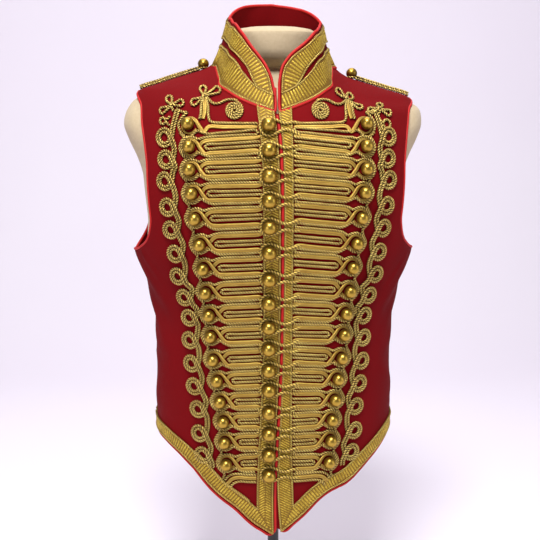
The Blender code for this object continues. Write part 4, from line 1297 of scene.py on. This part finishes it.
def edge_routes(near, far, place):
    """Routes of the two fine cords that bind a lace's edges, a millimetre in from its lines."""
    wide = np.linalg.norm(far - near, axis=1)[:, None]
    lines = (line + (other - line) / wide for line, other in ((near, far), (far, near)))
    return [route_on(place, np.column_stack([line, np.full(len(line), LAID)])) for line in lines]


def front_tape(side):
    """The two lines of a front's lace: down the front edge, round the point and along the hem."""
    z = np.linspace(757, 190, 120)
    near = np.column_stack([smooth(z, FRONT_EDGE) + side * smooth(z, LACE_NEAR[side]), z])
    z = np.linspace(765 if side == RIGHT else 762, 190, 120)
    far = np.column_stack([side * smooth(z, LACE_FAR[side]), z])
    turns = np.linspace(6.0, 88.6, 60)
    hem = hem_height(side, turns)
    cut = np.column_stack([[ring_length(math.radians(t), v) for t, v in zip(turns, hem)], hem])
    cut = np.vstack([cut[0] + unit(cut[0] - cut[1]) * 45, cut])
    low, high = moved(cut, HEM_MARGIN), moved(cut, HEM_MARGIN + HEM_LACE)
    mirror = np.array((side, 1))
    arms = [cut_where_crossed(near, low * mirror), cut_where_crossed(far, high * mirror)]
    down = [evenly(arm[0], 150) for arm in arms]
    along = [evenly(arm[1], 60) for arm in arms]
    return down, along


def back_hem_tape():
    shares = np.concatenate([np.linspace(0.985, 0, 30), np.linspace(0, -0.985, 30)[1:]])
    hem = smooth(90 * np.abs(shares), BACK_HEM)
    s = np.array([ring_length(math.pi - QUARTER * abs(v), z) for v, z in zip(shares, hem)])
    full = np.array([ring_length(math.pi, z) for z in hem])
    s = np.where(shares >= 0, s, 2 * full - s)
    return np.column_stack([s, hem + HEM_MARGIN]), np.column_stack([s, hem + HEM_MARGIN + HEM_LACE])


def round_back_spot(s, z, out):
    """As cloth_spot, for distances that run on past the centre back."""
    full = np.array([ring_length(math.pi, v) for v in np.atleast_1d(z)])
    s = np.where(s > full, s - 2 * full, s)
    return cloth(angle_at(s, z), z, np.full(np.shape(s), out))


def collar_bands():
    """The two lines of the collar lace's lower band, and of its upper band, from front edge to front edge."""
    bands = []
    for side in (LEFT, RIGHT):
        first = COLLAR_FRONT + 1.6
        half = np.concatenate([np.linspace(first, 90, 50), np.linspace(90, NECK_HALF, 30)[1:]])
        low = np.column_stack([half, np.full(len(half), 3.0)])
        low_top = np.column_stack([half, smooth(half, WINDOW_LOW[side])])
        along = np.linspace(COLLAR_FRONT, NECK_HALF, 200)
        rim = moved(np.column_stack([along, smooth(along, COLLAR_HEIGHTS[side])]), -1.5)
        rim = rim[(rim[:, 0] > first) & (rim[:, 1] > smooth(first, WINDOW_LOW[side]) + 4)]
        front = np.vstack([[(first, float(smooth(first, WINDOW_LOW[side])) + 0.3)], rim[rim[:, 0] < 78]])
        inner = np.linspace(WINDOW_TIP[side], 78, 40)
        inner = np.column_stack([inner, smooth(inner, WINDOW_HIGH[side])])
        rest = np.linspace(78, NECK_HALF, 40)[1:]
        rear = np.column_stack([rest, smooth(rest, COLLAR_HEIGHTS[side]) - 1.5])
        top_near = np.vstack([evenly(front, 50), rear])
        top_far = np.vstack([evenly(inner, 50), np.column_stack([rest, smooth(rest, WINDOW_HIGH[side])])])
        bands.append([low, low_top, top_near, top_far])
    whole = [np.vstack([a, b[-2::-1] * (-1, 1) + (2 * NECK_HALF, 0)]) for a, b in zip(*bands)]
    return whole[:2], whole[2:]


# The pieces

def dress(piece, slot, *nodes):
    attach(piece, "root")
    if nodes:
        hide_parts(*nodes)
    return piece


def waistcoat_cloth(finish):
    fronts = [dress(front_panel(side, name, finish), "wool", f"front_{name}") for side, name in SIDES]
    return *fronts, dress(back_panel(finish), "wool", "back"), dress(collar(finish), "wool", "collar")


def above_cloth(places, rise):
    """Points at a height above the cloth, each with its normal."""
    s, z = np.array(places, float).T
    points, normals = cloth_frame(angle_at(s, z), z)
    return list(zip(points + normals * rise, normals))


def braid_work(twist, flat, round_gold, brass_finish):
    for side, name in SIDES:
        stems, stem_middle = first_row(side)
        last_twist, last_flat = last_row(side)
        rows = [edge_cord(side)] + hairpins(side) + stems + last_twist
        dress(cords(f"row_cords_{name}", rows, TWIST, twist), "braid", f"braid_{name}")
        braids = row_braids(side) + stem_middle + last_flat
        dress(cords(f"row_braids_{name}", braids, BRAID, flat), "braid")
        dress(cords(f"scallop_{name}", [scallop(side)], TWIST, twist), "braid", f"scallop_cord_{name}")
        chain = [curl_chain(side, 2.05), curl_chain(side, -2.05)]
        dress(cords(f"curls_{name}", chain, TWIST, twist), "braid", f"curl_cord_{name}")
        dress(cords(f"knots_{name}", chest_knots(side), TWIST, twist), "braid",
              f"trefoil_inner_{name}", f"trefoil_outer_{name}", f"rosette_{name}")
        places = above_cloth([(side * u, z) for _, u, z in ROWS], OUTER_RISE)
        dress(buttons(f"outer_buttons_{name}", places, OUTER_BALL, brass_finish), "brass")
    dress(cords("button_loops", centre_loops(), LOOP, round_gold), "braid")
    places = above_cloth([(BUTTON_S, centre) for centre, _, _ in ROWS], CENTRE_RISE)
    dress(buttons("centre_buttons", places, CENTRE_BALL, brass_finish), "brass",
          *[f"centre_button_{k:02d}" for k in range(1, 17)])


def shoulder_spot(side, z, ahead):
    """A place on a shoulder's front slope, a distance ahead of its ridge."""
    turns = side * (QUARTER - np.linspace(0, 0.9, 91))
    along = run_lengths(cloth(turns, z))
    return cloth(np.interp(ahead, along, turns), z)


# The shoulder cords: height at the neck's end, and the two strands' distance ahead of the ridge and rise
STRAND_START, STRANDS = 787.0, ((5.6, 1.7), (2.6, 4.4))
LOOP_RADIUS, LOOP_SET = 5.4, 5.0


def shoulder_trims(twist, brass_finish):
    """A doubled twisted cord along each shoulder's ridge, looped round a ball button."""
    up, ahead = np.array((0.0, 0.0, 1.0)), np.array((0.0, -0.74, 0.67))
    heights = np.linspace(780.0, 818.0, 77)
    turn = np.radians(np.linspace(-140, 120, 13))
    lays = np.array([ahead] * 20 + [up] * 17 + [ahead] * 20)
    for side, name in SIDES:
        ridge = cloth(np.full(len(heights), side * QUARTER), heights)
        top = np.interp(-SHOULDER_REACH[side], -np.abs(ridge[:, 0]), heights)
        seat = cloth(side * QUARTER, top) + np.array((-side * LOOP_SET, 0.0, 0.0))
        ring = np.stack([seat[0] - side * LOOP_RADIUS * np.cos(turn), LOOP_RADIUS * np.sin(turn),
                         np.full(len(turn), seat[2] + 3.0)], -1)
        levels = np.linspace(STRAND_START, top - 0.6, 22)
        outer, inner = (np.array([shoulder_spot(side, z, off) for z in levels]) + up * rise
                        for off, rise in STRANDS)
        path = run_through(np.vstack([outer, ring, inner[::-1]])[:, [0, 2, 1]], 1.0)[:, [0, 2, 1]]
        share = np.linspace(0, len(lays) - 1, len(path))
        lay = unit(np.stack([np.interp(share, np.arange(len(lays)), lays[:, i]) for i in range(3)], -1))
        route = dict(points=path, lay=lay, girth=np.ones(len(path)), closed=False)
        dress(cords(f"shoulder_cords_{name}", [route], TWIST, twist), "braid", f"shoulder_cord_{name}")
        place = [(seat + up * SHOULDER_RISE, up)]
        dress(buttons(f"shoulder_ball_{name}", place, SHOULDER_BALL, brass_finish), "brass",
              f"shoulder_button_{name}")


def lace_work(lace, ground, edge_finish):
    for side, name in SIDES:
        down, along = front_tape(side)
        near, far = (np.vstack([down[i], along[i][1:]]) for i in (0, 1))
        dress(woven_ground(f"lace_{name}_ground", near, far, cloth_spot, ground), "lace", f"lace_{name}")
        ribs = rib_lines(*down, cloth_spot, 3.6, 0.6 * side, side == RIGHT)
        dress(rib_piece(f"front_ribs_{name}", ribs, lace, 1.1, 0.95), "lace")
        dress(rib_piece(f"hem_ribs_{name}", rib_lines(*along, cloth_spot, 3.9), lace, 1.6), "lace")
        edges = edge_routes(near, far, cloth_spot)
        if side == RIGHT:
            inner = moved(along[1][4:30], -1.0)
            edges.append(route_on(cloth_spot, np.column_stack([inner, np.full(len(inner), 1.7)])))
        dress(cords(f"lace_edges_{name}", edges, FINE_TWIST, edge_finish), "lace")
    near, far = back_hem_tape()
    dress(woven_ground("hem_lace_back", near, far, round_back_spot, ground), "lace", "lace_back")
    dress(rib_piece("hem_ribs_back", rib_lines(near, far, round_back_spot, 3.9), lace, 1.6), "lace")
    dress(cords("lace_edges_back", edge_routes(near, far, round_back_spot), FINE_TWIST, edge_finish), "lace")
    bands = collar_bands()
    for level, lines, nodes in zip(("low", "top"), bands, (["collar_lace"], [])):
        dress(woven_ground(f"collar_lace_{level}", *lines, collar_point, ground, 1.0, 0.8), "lace", *nodes)
    ribs = sum((rib_lines(*lines, collar_point, 4.4) for lines in bands), [])
    dress(rib_piece("collar_ribs", ribs, lace, 1.5), "lace")
    edges = sum((edge_routes(*lines, collar_point) for lines in bands), [])
    dress(cords("collar_lace_edges", edges, FINE_TWIST, edge_finish), "lace")


def beside(places, gap, toward, closed=False):
    """A line of cloth places (ring angle, z), moved off the cut edge in the cloth's own plane."""
    angles, heights = np.array(places, float).T
    point, normals = cloth_frame(angles, heights)
    points = point - normals * (CLOTH / 2)
    ways = np.roll(points, -1, axis=0) - np.roll(points, 1, axis=0) if closed else np.gradient(points, axis=0)
    into = unit(np.cross(normals, ways))
    into *= np.sign(np.sum(into * (np.array(toward) - points), axis=1))[:, None]
    return dict(points=points + into * gap, lay=normals, girth=np.ones(len(points)), closed=closed)


def piping(finish):
    """Red piping: the right front's edge, the hem, the armholes and the collar."""
    z = np.linspace(752, 211, 160)
    edge = np.column_stack([smooth(z, FRONT_EDGE) - 1.5, z, np.full(len(z), 1.2)])
    point = run_through([edge[-1], (-3.6, 206.0, 0.6), (-6.6, 201.8, -0.4), (-11.5, 200.6, -1.0)])
    route = route_on(cloth_spot, np.vstack([edge, point[1:]]))
    dress(cords("front_piping", [route], ROUND, finish), "piping", "edging_front")
    below = (0.0, 0.0, -4000.0)
    for side, name in SIDES:
        shares = np.linspace(0.012, 0.992, 90)
        hem = hem_height(side, 90 * shares)
        angles = front_angle(side, shares, hem, np.full(len(hem), float(UNDERARM)))
        route = beside(np.column_stack([angles, hem]), 1.3, below)
        dress(cords(f"hem_piping_{name}", [route], ROUND, finish), "piping", f"edging_{name}")
    shares = np.linspace(0.992, -0.992, 90)
    places = np.column_stack([math.pi - QUARTER * shares, smooth(90 * np.abs(shares), BACK_HEM)])
    dress(cords("hem_piping_back", [beside(places, 1.3, below)], ROUND, finish), "piping", "edging_back")
    levels = finer([level for level in SIDE_LEVELS if UNDERARM <= level <= SHOULDER_TIP], 5)[1:-1]
    front = [(math.radians(float(armhole(v, ARMHOLE_FRONT))), v) for v in levels]
    rear = [(math.pi - math.radians(float(armhole(v, ARMHOLE_BACK))), v) for v in reversed(levels)]
    ring = front + [(QUARTER, SHOULDER_TIP)] + rear + [(QUARTER, UNDERARM)]
    for side, name in SIDES:
        centre = cloth(side * QUARTER, (UNDERARM + SHOULDER_TIP) / 2)
        route = beside([(side * angle, z) for angle, z in ring], 1.4, centre, closed=True)
        dress(cords(f"armhole_roll_{name}", [route], ROUND, finish), "piping", f"armhole_piping_{name}")
    dress(cords("collar_roll", [collar_edge()], ROUND, finish), "piping", "collar_piping")


def collar_edge():
    """Round the neckline seam, up each front edge and over the top."""
    around = np.linspace(COLLAR_FRONT, 2 * NECK_HALF - COLLAR_FRONT, 160)
    top = np.column_stack([around, collar_top(around)])
    inner, front = -COLLAR_WALL / 2, COLLAR_FRONT - 1.5
    back, below = 2 * NECK_HALF - front, top[0][1] - 4
    loop = [(front, 9.0, inner), *((a, 1.2, 2.0) for a in around), (back, 9.0, inner), (back, below, inner)]
    loop += [(a, b, inner) for a, b in moved(top, 1.5)[::-1]] + [(front, below, inner)]
    return route_on(collar_point, run_through(loop, 2.0, closed=True), closed=True)


def form_and_stand(cover, steel):
    levels = finer([row[0] for row in FORM_RINGS], 5)
    count = 144
    turn = np.linspace(0, 2 * math.pi, count, endpoint=False)
    grid = ring_point(turn[None, :], levels[:, None], FORM_RINGS)
    round_ = np.abs((np.degrees(turn) + 180) % 360 - 180)[None, :]
    stub = smooth(levels, ARM_STUB)[:, None]
    share = np.where(stub > 0, eased((31 - np.abs(round_ - 87)) / 13), eased((52 - np.abs(round_ - 87)) / 14))
    grid[..., :2] += unit(grid[..., :2]) * (stub * share)[..., None]
    points = np.concatenate([grid.reshape(-1, 3), [[0, 0, FORM_BOTTOM], [0, 0, FORM_RINGS[-1][0] + 1.0]]])
    piece = mesh_piece("linen_form", points, ring_faces(len(levels), count), cover, 60)
    weft = np.concatenate([np.tile(turn * 0.16, len(levels)), [0, 0]])
    for label, values in (("weft", weft), ("warp", points[:, 2] * MM)):
        layer = piece.data.attributes.new(label, "FLOAT", "POINT")
        layer.data.foreach_set("value", values)
    dress(piece, "linen", "dress_form")
    plate = [(BASE_RADIUS - 1.0, 0.0), (BASE_RADIUS, 1.0), (BASE_RADIUS, 5.2), (BASE_RADIUS - 0.8, 6.8),
             (BASE_RADIUS - 3, 8.6), (BASE_RADIUS - 6, BASE_HEIGHT), (100, 15.4), (60, HUB_HEIGHT - 4),
             (28, 22.6), (14, HUB_HEIGHT - 0.6), (12.6, HUB_HEIGHT)]
    dress(turned("stand_plate", plate, 128, steel), "steel", "stand_base")
    top = FORM_BOTTOM - 0.3
    pole = [(POLE_RADIUS, HUB_HEIGHT + 0.3), (POLE_RADIUS, top)]
    dress(turned("stand_tube", pole, 48, steel), "steel", "stand_pole")


camera_and_light()
FINISHES = {
    "wool": wool(),
    "piping": piping_cloth(),
    "twist": gold_cord("gold_twist", 2, 0.0016, tint(202, 154, 50), tint(255, 236, 140)),
    "flat": gold_cord("gold_flat", 8, 0.0019, tint(142, 104, 26), tint(228, 194, 92), True),
    "loop": gold_cord("gold_loop", 3, 0.0016, tint(190, 146, 44), tint(248, 224, 120)),
    "edge": gold_cord("gold_edge", 2, 0.0012, tint(210, 164, 48), tint(255, 236, 132)),
    "lace": gold_lace(),
    "ground": lace_ground(),
    "brass": brass(),
    "linen": linen(),
    "steel": black_steel(),
}
backdrop(backdrop_paint())
form_and_stand(FINISHES["linen"], FINISHES["steel"])
panels = waistcoat_cloth(FINISHES["wool"])
piping(FINISHES["piping"])
lace_work(FINISHES["lace"], FINISHES["ground"], FINISHES["edge"])
braid_work(FINISHES["twist"], FINISHES["flat"], FINISHES["loop"], FINISHES["brass"])
shoulder_trims(FINISHES["twist"], FINISHES["brass"])
